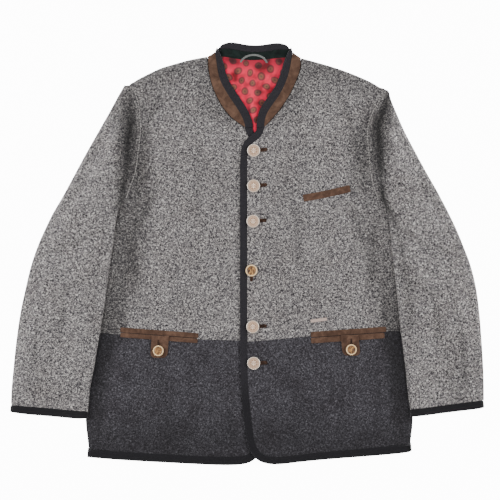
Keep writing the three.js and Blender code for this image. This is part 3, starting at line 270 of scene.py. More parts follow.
suede = napped("brown suede", [(0.45, "#402d24"), (0.66, "#533d31"), (0.88, "#6a5041")],
               SUEDE_PATCH, SUEDE_GRAIN, SUEDE_NAP, 0.15)
edging = napped("dark suede edging", [(0.48, "#21160f"), (0.66, "#35251d"), (0.86, "#4d372d")],
                EDGING_PATCH, SUEDE_GRAIN, SUEDE_NAP, 0.1)
felt = napped("dark green wool felt", [(0.48, "#0b100f"), (0.66, "#131b19"), (0.86, "#1d2825")],
              FELT_PATCH, FELT_GRAIN, FELT_NAP, 0.06)
print("napped", suede.name, edging.name, felt.name)

# %% [markdown]
# The lining is a red jacquard satin: long floating threads make it glossy across the folds, and a
# staggered repeat of small roundels is woven in. The roundels come from the distance to the nearest
# point of two grids, the second moved by half a step, so no picture is needed. A slow noise pulls
# the repeat out of line a little, as loose cloth does, and another one paints shade for its soft
# waves. Shade from the collar and the fronts is painted on it too, by a measure the lining carries.

# %% Satin lining
ROUNDEL_STEP_X = 24 * MM
ROUNDEL_STEP_Y = 33 * MM
ROUNDEL = 7.4 * MM
ROUNDEL_TURN = math.radians(14)
PULL_SIZE = 40 * MM
PULL = 12 * MM
WAVE_SIZE = 28 * MM
SATIN_THREAD = 0.9 * MM
SATIN_RELIEF = 0.2 * MM


def satin_lining():
    """Glossy red satin with woven roundels, each with a darker ring and a darker middle, and painted shade.
    """
    material, tree, shader = new_material(
        "red jacquard satin", Roughness=0.55, IOR=1.5, Specular_IOR_Level=0.3, Sheen_Weight=0.2,
        Sheen_Roughness=0.4, Anisotropic=0.5)
    place = add_node(tree, "TexCoord").outputs["Object"]
    turned = add_node(tree, "Mapping", {"Rotation": (0, 0, ROUNDEL_TURN)}, {"Vector": place})
    pull = add_node(tree, "TexNoise", {"Scale": per_metre(PULL_SIZE), "Detail": 1.0}, {"Vector": place})
    pulled = add_node(tree, "VectorMath", {"operation": "MULTIPLY_ADD", 1: (PULL, PULL, 0)},
                      {0: pull.outputs["Color"], 2: turned})
    distances = []
    for half in (0.0, 0.5):
        cell = add_node(tree, "VectorMath", {
            "operation": "MULTIPLY_ADD", 1: (1 / ROUNDEL_STEP_X, 1 / ROUNDEL_STEP_Y, 0),
            2: (half, half, 0)}, {0: pulled})
        inside = add_node(tree, "VectorMath", {"operation": "FRACTION"}, {0: cell})
        centred = add_node(tree, "VectorMath", {"operation": "SUBTRACT", 1: (0.5, 0.5, 0)}, {0: inside})
        sized = add_node(tree, "VectorMath", {
            "operation": "MULTIPLY", 1: (ROUNDEL_STEP_X / ROUNDEL, ROUNDEL_STEP_Y / ROUNDEL, 0)},
            {0: centred})
        length = add_node(tree, "VectorMath", {"operation": "LENGTH"}, {0: sized})
        distances.append(length.outputs["Value"])
    nearest = add_node(tree, "Math", {"operation": "MINIMUM"}, {0: distances[0], 1: distances[1]})
    roundel = add_node(tree, "ValToRGB", {"stops": [
        (0.0, "#5a4034"), (0.22, "#75503e"), (0.36, "#945342"), (0.6, "#84453a"),
        (0.76, "#77343a"), (0.88, "#a32b3d"), (1.0, "#ee2148")]}, {"Fac": nearest})
    # Painted shade for the soft waves of the loose satin
    wave = add_node(tree, "TexNoise", {"Scale": per_metre(WAVE_SIZE), "Detail": 2.0}, {"Vector": place})
    shade = add_node(tree, "ValToRGB", {"stops": [(0.36, "#7a4652"), (0.56, "#ffffff")]}, {"Fac": wave})
    colour = add_node(tree, "Mix", {"data_type": "RGBA", "blend_type": "MULTIPLY", 0: 1.0},
                      {6: roundel, 7: shade})
    # Painted shade below the collar and in the point of the lining, towards a dark red
    pressed = add_node(tree, "Attribute", {"attribute_name": "pressed"})
    shaded_satin = add_node(tree, "Mix", {"data_type": "RGBA", 7: linear("#3d0a16")},
                    {0: pressed.outputs["Fac"], 6: colour.outputs[2]})
    thread = add_node(tree, "TexNoise", {"Scale": per_metre(SATIN_THREAD), "Detail": 1.0}, {"Vector": place})
    give_finish(tree, shader, shaded_satin.outputs[2], thread, 0.25, SATIN_RELIEF)
    return material


satin = satin_lining()
print("lining", satin.name)

# %% [markdown]
# The hard trimmings are an antiqued nickel silver for the coin buttons, polished horn with a pale
# bark rim for the other ones, and bare metal for the small bar. Metal keeps its default IOR, and
# its colour is the colour of its reflection. Dirt stays in the hollows of old silver, so a measure
# of height that each button carries darkens what lies low.

# %% Metal and horn
WEAR = 1.6 * MM
WEAR_DEPTH = 0.15 * MM
HORN_STREAK = 2.0 * MM
SCRATCH = 0.3 * MM


def antique_silver():
    """Worn nickel silver that is dark in its hollows and bright on its relief."""
    material, tree, shader = new_material("antiqued nickel silver", Metallic=1.0, Roughness=0.45)
    relief = add_node(tree, "Attribute", {"attribute_name": "relief"})
    colour = add_node(tree, "ValToRGB", {"stops": [
        (0.0, "#5b4332"), (0.26, "#b08a6e"), (0.5, "#f6d4b8"), (0.85, "#fffaf0")]},
        {"Fac": relief.outputs["Fac"]})
    place = add_node(tree, "TexCoord").outputs["Object"]
    wear = add_node(tree, "TexNoise", {"Scale": per_metre(WEAR), "Detail": 3.0}, {"Vector": place})
    give_finish(tree, shader, colour, wear, 0.5, WEAR_DEPTH)
    return material


def horn_polish():
    """Brown horn with streaks, paler at the bark rim, which the relief measure tells apart."""
    material, tree, shader = new_material(
        "polished horn", Roughness=0.3, IOR=1.54, Coat_Weight=0.3, Coat_Roughness=0.15)
    relief = add_node(tree, "Attribute", {"attribute_name": "relief"})
    place = add_node(tree, "TexCoord").outputs["Object"]
    stretched = add_node(tree, "Mapping", {"Scale": (1.0, 0.3, 1.0)}, {"Vector": place})
    streak = add_node(tree, "TexNoise", {"Scale": per_metre(HORN_STREAK), "Detail": 4.0, "Distortion": 0.8},
                      {"Vector": stretched})
    brown = add_node(tree, "ValToRGB", {"stops": [(0.38, "#2e1a0b"), (0.5, "#85592e"), (0.6, "#c99a5e")]},
                     {"Fac": streak})
    rim = add_node(tree, "MapRange", {"From Min": 0.55, "From Max": 0.7}, {"Value": relief.outputs["Fac"]})
    colour = add_node(tree, "Mix", {"data_type": "RGBA", 7: linear("#f6d5a4")}, {0: rim, 6: brown})
    give_finish(tree, shader, colour.outputs[2])
    return material


def brushed_metal():
    """Bare metal with fine scratches along X."""
    material, tree, shader = new_material("brushed bare metal", Metallic=1.0, Roughness=0.5)
    place = add_node(tree, "TexCoord").outputs["Object"]
    stretched = add_node(tree, "Mapping", {"Scale": (0.1, 1.0, 1.0)}, {"Vector": place})
    scratch = add_node(tree, "TexNoise", {"Scale": per_metre(SCRATCH), "Detail": 2.0}, {"Vector": stretched})
    faint = add_node(tree, "Math", {"operation": "MULTIPLY", 1: 0.3}, {0: scratch})
    colour = add_node(tree, "Mix", {"data_type": "RGBA", 6: linear("#c9ad9f"), 7: linear("#ffffff")},
                      {0: faint})
    give_finish(tree, shader, colour.outputs[2])
    return material


silver = antique_silver()
horn = horn_polish()
bare_metal = brushed_metal()
print("hard trimmings", silver.name, horn.name, bare_metal.name)

# %% [markdown]
# The hanger loop is a ribbed ribbon of shiny yarn, and the topstitching is a twisted grey thread.
# The ribs follow the same measure along the strip as those of the braid.

# %% Ribbon and thread
RIBBON_RIB = 0.8 * MM
RIBBON_RELIEF = 0.2 * MM
YARN = 0.6 * MM


def ribbed_ribbon():
    """Grey ribbon whose ribs run across it."""
    material, tree, shader = new_material(
        "grey ribbon", Roughness=0.45, IOR=1.5, Sheen_Weight=0.3, Sheen_Roughness=0.4)
    along = add_node(tree, "Attribute", {"attribute_name": "along"})
    turns = add_node(tree, "Math", {"operation": "MULTIPLY", 1: 2 * math.pi / RIBBON_RIB},
                     {0: along.outputs["Fac"]})
    rib = add_node(tree, "Math", {"operation": "SINE"}, {0: turns})
    height = add_node(tree, "MapRange", {"From Min": -1.0}, {"Value": rib})
    tone = add_node(tree, "Mix", {"data_type": "RGBA", 6: linear("#4c4e4c"), 7: linear("#747673")},
                    {0: height})
    give_finish(tree, shader, tone.outputs[2], rib, 0.4, RIBBON_RELIEF)
    return material


def sewing_thread():
    """Twisted thread with fine uneven yarn."""
    material, tree, shader = new_material(
        "grey sewing thread", Roughness=0.7, IOR=1.5, Specular_IOR_Level=0.3, Sheen_Weight=0.1)
    place = add_node(tree, "TexCoord").outputs["Object"]
    yarn = add_node(tree, "TexNoise", {"Scale": per_metre(YARN)}, {"Vector": place})
    tone = add_node(tree, "Mix", {"data_type": "RGBA", 6: linear("#8b8684"), 7: linear("#b7b2ae")},
                    {0: yarn})
    give_finish(tree, shader, tone.outputs[2])
    return material


ribbon = ribbed_ribbon()
thread_grey = sewing_thread()
print("soft trimmings", ribbon.name, thread_grey.name)

# %% [markdown]
# A soft cloth has no facets, so each panel gets a fine mesh of its own on the form of its solid.
# It starts from the outline of the solid's top. The faces that look upward are kept, and the edges
# that only one of them has are walked as a loop.

# %% Outlines of the solids
WELD = 0.001 * MM
# Least upward part of the normal of a face that belongs to the top
UPWARD = 0.3


def merged_solid(name):
    """Corners and triangles of a CAD solid, whose faces share their corners."""
    solid = bmesh.new()
    solid.from_mesh(nodes[name].data)
    bmesh.ops.remove_doubles(solid, verts=solid.verts, dist=WELD)
    return solid


def top_faces(name):
    """Corners and triangles of the upward side of a CAD solid."""
    solid = merged_solid(name)
    solid.normal_update()
    bmesh.ops.delete(solid, geom=[f for f in solid.faces if f.normal.z < UPWARD], context="FACES")
    return solid


def rim_of(solid):
    """The border of a mesh as one loop of points that runs anticlockwise."""
    borders = [e for e in solid.edges if e.is_boundary]
    neighbours = {}
    for edge in borders:
        a, b = edge.verts
        neighbours.setdefault(a, []).append(b)
        neighbours.setdefault(b, []).append(a)
    start = borders[0].verts[0]
    loop = [start]
    before, current = None, start
    while True:
        onward = [v for v in neighbours[current] if v is not before]
        before, current = current, onward[0]
        if current is start:
            break
        loop.append(current)
    points = np.array([v.co[:2] for v in loop])
    onwards = np.roll(points, -1, axis=0)
    if np.sum(points[:, 0] * onwards[:, 1] - onwards[:, 0] * points[:, 1]) < 0:
        points = points[::-1]
    return points


print("back outline has", len(rim_of(top_faces("back_upper"))), "corners")

# %% [markdown]
# The CAD outline is a chain of short straight edges. A smooth curve through its corners looks like
# cut cloth. Real corners, such as those of the hem, have to stay sharp, so the curve is only let
# round a corner that turns by less than 38 degrees.

# %% Smooth outlines
CORNER = math.cos(math.radians(38))


def smooth_loop(points, step):
    """Points a step apart on a smooth curve through a loop, which keeps its sharp corners."""
    count = len(points)
    ways = np.roll(points, -1, axis=0) - points
    ways /= np.linalg.norm(ways, axis=1)[:, None]
    sharp = [float(np.dot(ways[i - 1], ways[i])) < CORNER for i in range(count)]
    fine = []
    for i in range(count):
        a, b = points[i], points[(i + 1) % count]
        before = a if sharp[i] else points[i - 1]
        after = b if sharp[(i + 1) % count] else points[(i + 2) % count]
        chord = float(np.linalg.norm(b - a))
        parts = max(1, round(chord / step))
        slope_in = (b - before) * chord / np.linalg.norm(b - before)
        slope_out = (after - a) * chord / np.linalg.norm(after - a)
        for k in range(parts):
            t = k / parts
            bend = 3 * (b - a) - 2 * slope_in - slope_out
            twist = 2 * (a - b) + slope_in + slope_out
            fine.append(a + t * (slope_in + t * (bend + t * twist)))
    return np.array(fine)


print("a corner is sharper than", round(math.degrees(math.acos(CORNER))), "degrees")

# %% [markdown]
# Panels that meet at a seam must leave no gap, so an outline reaches over its neighbours a little.
# Elsewhere soft cloth bulges past the simple solid. For both, each point of the outline moves
# outward, by a measure that depends on the distance to the neighbour or on the height along Y.

# %% Distances and seams
SEAM_NEAR = 3 * MM
SEAM_FAR = 7 * MM
# Keeps a division from failing on an edge without length
TINY = 1e-18


def from_table(table, heights):
    """The columns of a table at each height, whose first column is the height."""
    columns = np.array(table, float).T
    return [np.interp(heights, columns[0], column) for column in columns[1:]]


def distance_to_loop(places, loop):
    """Distance of each place to a closed loop, and whether it lies inside."""
    ends = np.roll(loop, -1, axis=0)
    nearest = np.full(len(places), np.inf)
    inside = np.zeros(len(places), bool)
    for a, b in zip(loop, ends):
        way = b - a
        t = np.clip(((places - a) @ way) / max(way @ way, TINY), 0, 1)
        nearest = np.minimum(nearest, np.hypot(*(places - a - t[:, None] * way).T))
        crosses = (a[1] > places[:, 1]) != (b[1] > places[:, 1])
        if crosses.any():
            reach = a[0] + (places[:, 1] - a[1]) * way[0] / (way[1] if way[1] else TINY)
            inside ^= crosses & (places[:, 0] < reach)
    return nearest, inside


def outward_of(rim):
    """Unit direction away from the inside at each point of an outline."""
    ahead = np.roll(rim, -1, axis=0) - np.roll(rim, 1, axis=0)
    outward = np.stack([ahead[:, 1], -ahead[:, 0]], axis=1)
    return outward / np.linalg.norm(outward, axis=1)[:, None]


def reach_over(rim, neighbours, overlap):
    """The outline moved outward where it runs along other ones, to leave no gap at a seam."""
    distance = np.min([distance_to_loop(rim, loop)[0] for loop in neighbours], axis=0)
    near = 1 - np.clip((distance - SEAM_NEAR) / (SEAM_FAR - SEAM_NEAR), 0, 1)
    return rim + outward_of(rim) * (overlap * near)[:, None]


def push_out(rim, table):
    """The outline moved outward at its outer and inner side, by millimetres that depend on Y."""
    outward = outward_of(rim)
    facing = outward[:, 0] * np.sign(rim[:, 0])
    outer, inner = from_table(table, rim[:, 1] / MM)
    push = outer * np.clip(facing, 0, 1) + inner * np.clip(-facing, 0, 1)
    return rim + outward * (MM * push)[:, None]


print("a seam reaches", round(SEAM_FAR / MM), "mm")

# %% [markdown]
# The creases are listed one by one. Each is a long soft trough or ridge with its own middle,
# direction, length, width and height, all in millimetres. Those of the body stay clear of the
# buttons and pockets, where the cloth lies flat under its trimmings.

# %% Creases of the body
BODY_CREASES = [
    # middle x, y, direction in degrees, length, width, rise
    (-172, 262, 70, 62, 9, -1.5),
    (-186, 170, 52, 34, 4, -0.9),
    (-192, 154, 48, 40, 4, 0.9),
    (-196, 134, 46, 30, 4, -0.8),
    (-180, 96, 66, 80, 11, -1.3),
    (-120, 200, 96, 90, 16, 0.9),
    (-92, 116, 84, 110, 13, -0.9),
    (-148, 20, 104, 90, 14, 1.0),
    (-206, -40, 98, 100, 12, -1.1),
    (-66, -30, 90, 120, 15, 0.8),
    (-128, -96, 62, 60, 12, -0.7),
    (-252, 0, 84, 110, 10, 1.0),
    (186, 250, 108, 60, 9, -1.4),
    (200, 180, 130, 34, 4, -0.9),
    (206, 164, 134, 36, 4, 0.8),
    (196, 70, 112, 80, 12, -1.2),
    (118, 190, 84, 80, 15, 0.9),
    (92, 30, 96, 120, 14, -0.9),
    (160, -20, 80, 90, 14, 0.9),
    (228, -30, 84, 100, 12, -1.1),
    (262, 20, 98, 90, 9, 0.9),
    (70, -90, 92, 80, 14, 0.7),
    (-230, -250, 88, 90, 12, 1.0),
    (-150, -290, 94, 90, 14, -0.9),
    (-70, -250, 86, 110, 15, 0.9),
    (-30, -300, 92, 80, 9, -0.8),
    (90, -270, 94, 100, 14, -0.8),
    (160, -300, 88, 80, 13, 0.9),
    (240, -250, 92, 100, 12, -1.0),
]
print("creases of the body", len(BODY_CREASES))

# %% [markdown]
# A sleeve turns round the arm, so its creases run slanting at the elbow and along the arm below
# it. The lining is thin and hangs from the collar in narrow upright folds.

# %% Creases of the sleeves and the lining
SLEEVE_CREASES = [
    # middle x, y, direction in degrees, length, width, rise
    (-268, 214, 56, 60, 8, -1.5),
    (-282, 150, 64, 70, 9, 1.5),
    (-312, 120, 50, 60, 7, -1.6),
    (-330, 62, 60, 70, 9, 1.6),
    (-300, 30, 34, 46, 6, -1.5),
    (-356, 6, 26, 48, 7, -1.7),
    (-322, -22, 18, 44, 6, 1.3),
    (-318, -58, 30, 48, 7, -1.6),
    (-380, -76, 74, 60, 8, 1.4),
    (-342, -118, 82, 70, 9, -1.5),
    (-392, -176, 84, 70, 8, -1.5),
    (-348, -206, 88, 60, 9, 1.3),
    (-324, -250, 80, 40, 7, -1.2),
    (286, 210, 122, 60, 8, -1.5),
    (302, 146, 116, 70, 9, 1.5),
    (328, 116, 130, 56, 7, -1.6),
    (344, 58, 122, 70, 9, 1.6),
    (312, 24, 146, 44, 6, -1.5),
    (366, 2, 154, 46, 7, -1.6),
    (334, -30, 162, 44, 6, 1.3),
    (326, -66, 150, 46, 7, -1.6),
    (388, -84, 104, 60, 8, 1.4),
    (350, -126, 98, 70, 9, -1.5),
    (398, -184, 96, 66, 8, -1.4),
    (352, -214, 92, 56, 9, 1.2),
]
LINING_CREASES = [
    # middle x, y, direction in degrees, length, width, rise
    (-20, 320, 96, 60, 5, 1.8),
    (-4, 300, 100, 90, 5, -1.4),
    (10, 310, 84, 80, 5, 2.2),
    (24, 300, 78, 70, 4, -1.5),
    (38, 322, 70, 50, 5, 2.0),
    (52, 330, 64, 40, 4, -1.2),
    (-34, 336, 112, 36, 5, 1.4),
    (12, 262, 88, 60, 5, 1.6),
    (20, 230, 92, 40, 3, -1.0),
    (1, 258, 78, 44, 3, -2.6),
    (15, 250, 82, 40, 3, 1.6),
]
print("creases of the sleeves and the lining", len(SLEEVE_CREASES), len(LINING_CREASES))

# %% [markdown]
# A crease is highest in its middle and dies away smoothly on all sides, like a stretched bell. It
# is also bowed a little, because no crease in cloth is straight.

# %% Height of the creases
# How far the ends of a crease bend aside, as a share of its width
CREASE_BOW = 0.6
CREASE_STEEPNESS = 2


def crease_rise(creases, places):
    """Height that the creases add at each place."""
    rise = np.zeros(len(places))
    for x, y, turn, length, width, height in creases:
        angle = math.radians(turn)
        away = places - np.array([x, y]) * MM
        along = away @ np.array([math.cos(angle), math.sin(angle)])
        across = away @ np.array([-math.sin(angle), math.cos(angle)])
        bowed = across - (along / (length * MM)) ** 2 * width * MM * CREASE_BOW
        reach = (along / (length * MM)) ** 2 + (bowed / (width * MM)) ** 2
        rise += height * MM * np.exp(-CREASE_STEEPNESS * reach)
    return rise


middle_of_first = np.array([BODY_CREASES[0][:2]]) * MM
print("the first crease rises", round(crease_rise(BODY_CREASES[:1], middle_of_first)[0] / MM, 2), "mm")

# %% [markdown]
# The left sleeve and the fronts lie a few millimetres further out in the picture than the simple
# solids do, and the right sleeve is narrower on its inner side. Short tables say by how much at
# some heights along Y.

# %% Edges that bulge
# How far a soft edge bulges past its solid: height along Y, outer side and inner side, all in mm
LEFT_SLEEVE_PUSH = [(-310, 3.4, 2.6), (-240, 0.8, 0.6), (-120, 0, 0), (0, 0.8, 0), (90, 1.6, 0),
                    (240, 1.5, 0), (285, 0, 0)]
RIGHT_SLEEVE_PUSH = [(-310, 0, -2.4), (-240, 0, -1.6), (-150, 0, 0)]
LEFT_HEM_PUSH = [(-385, 2.0, 0), (-355, 2.6, 0), (-300, 4.6, 0), (-235, 4.0, 0), (-205, 0, 0)]
RIGHT_HEM_PUSH = [(-385, 1.8, 0), (-355, 1.9, 0), (-300, 2.7, 0), (-235, 2.0, 0), (-205, 0, 0)]
PUSHED_OUT = {
    "sleeve_left_top": LEFT_SLEEVE_PUSH,
    "sleeve_left_under": LEFT_SLEEVE_PUSH,
    "sleeve_right_top": RIGHT_SLEEVE_PUSH,
    "front_left_lower": LEFT_HEM_PUSH,
    "front_right_lower": RIGHT_HEM_PUSH,
}
print("edges pushed out", len(PUSHED_OUT))

# %% [markdown]
# Buttons, tabs and welts are sewn on and hold the cloth flat. Near them the creases fade out and
# the top keeps to the solid, so that no trimming sinks into the cloth.

# %% Room for the trimmings
TRIM_MARGIN = 7 * MM
TRIM_FADE = 24 * MM
TRIMMING_KINDS = ("welt", "tab", "button", "front_button", "pocket", "metal", "hanger")
TRIMMINGS = [name for name in nodes if name.startswith(TRIMMING_KINDS)]


def ease(value):
    """Smooth step from 0 to 1."""
    t = np.clip(value, 0, 1)
    return t * t * (3 - 2 * t)


def clear_of_trimmings(places):
    """0 beside the trimmings and 1 a little further away."""
    clear = np.ones(len(places))
    for name in TRIMMINGS:
        low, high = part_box(name)
        x = np.maximum(np.maximum(low.x - places[:, 0], places[:, 0] - high.x), 0)
        y = np.maximum(np.maximum(low.y - places[:, 1], places[:, 1] - high.y), 0)
        clear = np.minimum(clear, ease((np.hypot(x, y) - TRIM_MARGIN) / TRIM_FADE))
    return clear


print("trimmings", len(TRIMMINGS))

# %% [markdown]
# The inside of a panel is filled with points a few millimetres apart, in staggered rows, and rings
# of points follow the outline, to leave room for seams. A Delaunay mesh joins them all to even
# triangles, which shade without streaks.

# %% Points of a panel
SPACING = 4.6 * MM
# The grid inside a panel has staggered rows, which lie closer than the points in a row
ROW_SHARE = 0.87
# The grid ends this share of the spacing inside the last ring
GRID_MARGIN = 0.4
RING_DEPTHS = [0.5 * MM, 1.3 * MM, 3.0 * MM, 4.4 * MM, 5.6 * MM, 7.4 * MM]
# A point of a ring that is nearer to the outline than this share of its depth is left out
RING_MARGIN = 0.93
# Tells the Delaunay mesher to keep only the triangles inside the outline
INSIDE_ONLY = 1
POINT_TOLERANCE = 1e-7


def fill_points(rim, spacing):
    """Points of the outline, of the rings beside it and of the grid inside."""
    outward = outward_of(rim)
    points = [rim]
    for depth in RING_DEPTHS:
        ring = rim - outward * depth
        distance, inside = distance_to_loop(ring, rim)
        points.append(ring[inside & (distance > RING_MARGIN * depth)])
    low, high = rim.min(axis=0), rim.max(axis=0)
    x, y = np.meshgrid(np.arange(low[0], high[0], spacing), np.arange(low[1], high[1], spacing * ROW_SHARE))
    x[1::2] += spacing / 2
    grid = np.stack([x.ravel(), y.ravel()], axis=1)
    distance, inside = distance_to_loop(grid, rim)
    points.append(grid[inside & (distance > RING_DEPTHS[-1] + GRID_MARGIN * spacing)])
    return np.concatenate(points)


def fill_outline(rim, spacing):
    """Points and triangles that fill an outline, and their area."""
    places = fill_points(rim, spacing)
    edges = [(i, (i + 1) % len(rim)) for i in range(len(rim))]
    meshed = delaunay_2d_cdt([Vector(p) for p in places], edges, [], INSIDE_ONLY, POINT_TOLERANCE)
    places = np.array([v[:] for v in meshed[0]])
    faces = np.array([f for f in meshed[2] if len(f) == 3])
    a, b, c = places[faces[:, 0]], places[faces[:, 1]], places[faces[:, 2]]
    twice = (b[:, 0] - a[:, 0]) * (c[:, 1] - a[:, 1]) - (c[:, 0] - a[:, 0]) * (b[:, 1] - a[:, 1])
    faces[twice < 0] = faces[twice < 0][:, ::-1]
    return places, faces, float(np.abs(twice).sum()) / 2


print("panels have a point each", round(SPACING / MM, 1), "mm")

# %% [markdown]
# The height of a point is that of the solid straight below it. The facets of the solid would show,
# so the heights are averaged with those of the neighbours some times over. The border is averaged
# along itself alone, or it would creep inward.

# %% Heights of a panel
# A ray falls from high above. Where it misses, the point nearest to a place just above is taken.
HIGH_ABOVE = 1.0
JUST_ABOVE = 10 * MM
EVENING_PASSES = 12


def height_under(tree, x, y):
    """Height of a surface straight below a place, or of its nearest point beside it."""
    hit = tree.ray_cast(Vector((x, y, HIGH_ABOVE)), Vector((0, 0, -1)))[0]
    if hit is None:
        hit = tree.find_nearest(Vector((x, y, JUST_ABOVE)))[0]
    return hit.z


def border_edges(faces):
    """Edges that only one face has, in that face's direction."""
    pairs = np.concatenate([faces[:, [0, 1]], faces[:, [1, 2]], faces[:, [2, 0]]])
    key = np.sort(pairs, axis=1)
    _, first, count = np.unique(key, axis=0, return_index=True, return_counts=True)
    return pairs[first[count == 1]]


def even_out(heights, faces, passes):
    """Heights averaged with their neighbours' heights, the border along itself only."""
    border = border_edges(faces)
    pairs = np.concatenate([faces[:, [0, 1]], faces[:, [1, 2]], faces[:, [2, 0]]])
    pairs = np.unique(np.sort(pairs, axis=1), axis=0)
    on_border = np.zeros(len(heights), bool)
    on_border[border.ravel()] = True
    for chosen, target in ((border, on_border), (pairs, ~on_border)):
        both = np.concatenate([chosen, chosen[:, ::-1]])
        count = np.maximum(np.bincount(both[:, 0], minlength=len(heights)), 1)
        for _ in range(passes):
            mean = np.bincount(both[:, 0], heights[both[:, 1]], len(heights)) / count
            heights = np.where(target, (heights + mean) / 2, heights)
    return heights


print("evened out", EVENING_PASSES, "times")

# %% [markdown]
# The top of a panel carries the creases and whatever else changes its height. Shade is painted
# in the troughs. Its inner face lies one cloth thickness lower, and both sink a little over the
# last millimetre at the raw edge, which rounds it.

# %% Creased and rounded cloth
EDGE_RADIUS = 1.3 * MM
EDGE_DROP = 0.8 * MM
# An edge is never rounded by more than this share of the thickness
EDGE_SHARE = 0.35
CREASE_MARGIN = 5 * MM
CREASE_FADE = 22 * MM
# Painted shade for each millimetre of a trough's depth
TROUGH_SHADE = 0.2


def panel_heights(tree, places, faces, depth, creases, change):
    """Height of the top at each place, and how much shade is painted there."""
    exact = np.array([height_under(tree, x, y) for x, y in places])
    clear = clear_of_trimmings(places)
    smooth = even_out(exact, faces, EVENING_PASSES)
    rise = crease_rise(creases, places) * clear * ease((depth - CREASE_MARGIN) / CREASE_FADE)
    heights = exact + (smooth - exact) * clear + rise
    pressed = np.zeros(len(places))
    if change is not None:
        lift, pressed = change(places, depth)
        heights = heights + lift
    # Painted shade: from the change of the panel and from the depth of the troughs
    return heights, np.clip(pressed - TROUGH_SHADE * rise / MM, 0, 1)


def cloth_wall(name, places, faces, heights, depth, thickness):
    """Mesh of a wall of cloth whose raw edges are rounded."""
    curve = 1 - np.sqrt(1 - (1 - np.clip(depth / EDGE_RADIUS, 0, 1)) ** 2)
    rounding = np.minimum(EDGE_DROP, EDGE_SHARE * thickness) * curve
    top = np.column_stack([places, heights - rounding])
    low = np.column_stack([places, heights - thickness + rounding])
    size = len(places)
    edge_faces = [(p, p + size, q + size, q) for p, q in border_edges(faces).tolist()]
    mesh = bpy.data.meshes.new(name)
    mesh.from_pydata(np.concatenate([top, low]).tolist(), [],
                     faces.tolist() + (faces[:, ::-1] + size).tolist() + edge_faces)
    mesh.validate()
    return mesh


print("raw edges are rounded over", round(EDGE_RADIUS / MM, 1), "mm")

# %% [markdown]
# Every piece rides on the one body of the part and takes the place of its solids. A panel is a
# sheet of cloth. At the cuff a sleeve is a little longer than its solid, and at the shoulder it
# rises with the padding.

# %% Sheets of cloth
CUFF_START = -250 * MM
CUFF_REACH = 25 * MM
CUFF_OVERHANG = 2.4 * MM
SHOULDER_REACH = 15 * MM
SHOULDER_RISE = 4.5 * MM


def new_piece(name, mesh, material, replaced):
    """A finished piece that rides the body and stands for its solids."""
    mesh.shade_smooth()
    mesh.materials.append(material)
    piece = bpy.data.objects.new(name, mesh)
    bpy.context.scene.collection.objects.link(piece)
    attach(piece, "root")
    if replaced:
        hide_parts(*replaced)
    return piece


def panel_rim(solid, node, spacing, neighbours, overlap, shoulder, lengthen):
    """The smooth outline of a panel, which reaches to its neighbours and bulges past its solid."""
    rim = smooth_loop(rim_of(solid), spacing)
    rim[:, 1] -= lengthen * ease((CUFF_START - rim[:, 1]) / CUFF_REACH)
    if shoulder is not None:
        reach = np.linalg.norm(rim - shoulder, axis=1) / SHOULDER_REACH
        rim[:, 1] += SHOULDER_RISE * (1 - ease(reach))
    if neighbours:
        rim = reach_over(rim, neighbours, overlap)
    if node in PUSHED_OUT:
        rim = push_out(rim, PUSHED_OUT[node])
    return rim


def lay_panel(node, material, thickness, creases, spacing=SPACING, change=None,
              neighbours=(), overlap=0.0, shoulder=None, lengthen=0.0):
    """One sheet of cloth on the form of its solid."""
    solid = top_faces(node)
    rim = panel_rim(solid, node, spacing, neighbours, overlap, shoulder, lengthen)
    tree = BVHTree.FromBMesh(solid)
    solid.free()
    places, faces, area = fill_outline(rim, spacing)
    depth, _ = distance_to_loop(places, rim)
    heights, pressed = panel_heights(tree, places, faces, depth, creases, change)
    mesh = cloth_wall(f"{node}_cloth", places, faces, heights, depth, thickness)
    # Painted shade measure, which the wool and satin colours read
    measure = mesh.attributes.new("pressed", "FLOAT", "POINT")
    measure.data.foreach_set("value", np.concatenate([pressed, pressed]))
    piece = new_piece(f"{node}_cloth", mesh, material, [node])


print("wool at the cuffs is", round(CUFF_OVERHANG / MM, 1), "mm longer")

# %% [markdown]
# An armhole is sewn, pressed towards the body and stitched down once more beside the seam. That
# second row pulls a groove into the thick wool, with a soft ridge between it and the seam.

# %% Topstitched armholes
STITCH_OFFSET = 6.2 * MM
GROOVE_WIDTH = 1.3 * MM
GROOVE_DEPTH = 1.1 * MM
SEAM_RIDGE = 0.9 * MM
RIDGE_PLACE = 0.45 * STITCH_OFFSET
RIDGE_WIDTH = 1.6 * GROOVE_WIDTH
ARMPIT_Y = 104 * MM
ARMPIT_FADE = 12 * MM


def topstitched(places, armhole):
    """Change of height beside an armhole: a ridge at the seam and a groove at the stitches."""
    distance, _ = distance_to_loop(places, armhole)
    above = ease((places[:, 1] - ARMPIT_Y) / ARMPIT_FADE)
    groove = -GROOVE_DEPTH * np.exp(-((distance - STITCH_OFFSET) / GROOVE_WIDTH) ** 2)
    ridge = SEAM_RIDGE * np.exp(-((distance - RIDGE_PLACE) / RIDGE_WIDTH) ** 2)
    return above * (groove + ridge)


print("stitches run", round(STITCH_OFFSET / MM, 1), "mm from the seam")

# %% [markdown]
# What happens beside a seam depends on the distance to the neighbour's outline, so the outlines of
# the sleeves, the fronts and the welts are kept.

# %% Outlines of the neighbours
SIDES = ("left", "right")


def fine_rim(name, spacing=SPACING):
    """The smooth outline of a solid's top."""
    return smooth_loop(rim_of(top_faces(name)), spacing)


sleeve_rims = {side: fine_rim(f"sleeve_{side}_top") for side in SIDES}
front_rims = {side: fine_rim(f"front_{side}_upper") for side in SIDES}
lower_rims = {side: fine_rim(f"front_{side}_lower") for side in SIDES}
welt_rims = {side: [rim_of(top_faces(f"welt_{side}_{row}")) for row in ("upper", "lower")]
             for side in SIDES}
print("sleeve outlines", [len(loop) for loop in sleeve_rims.values()], "points")
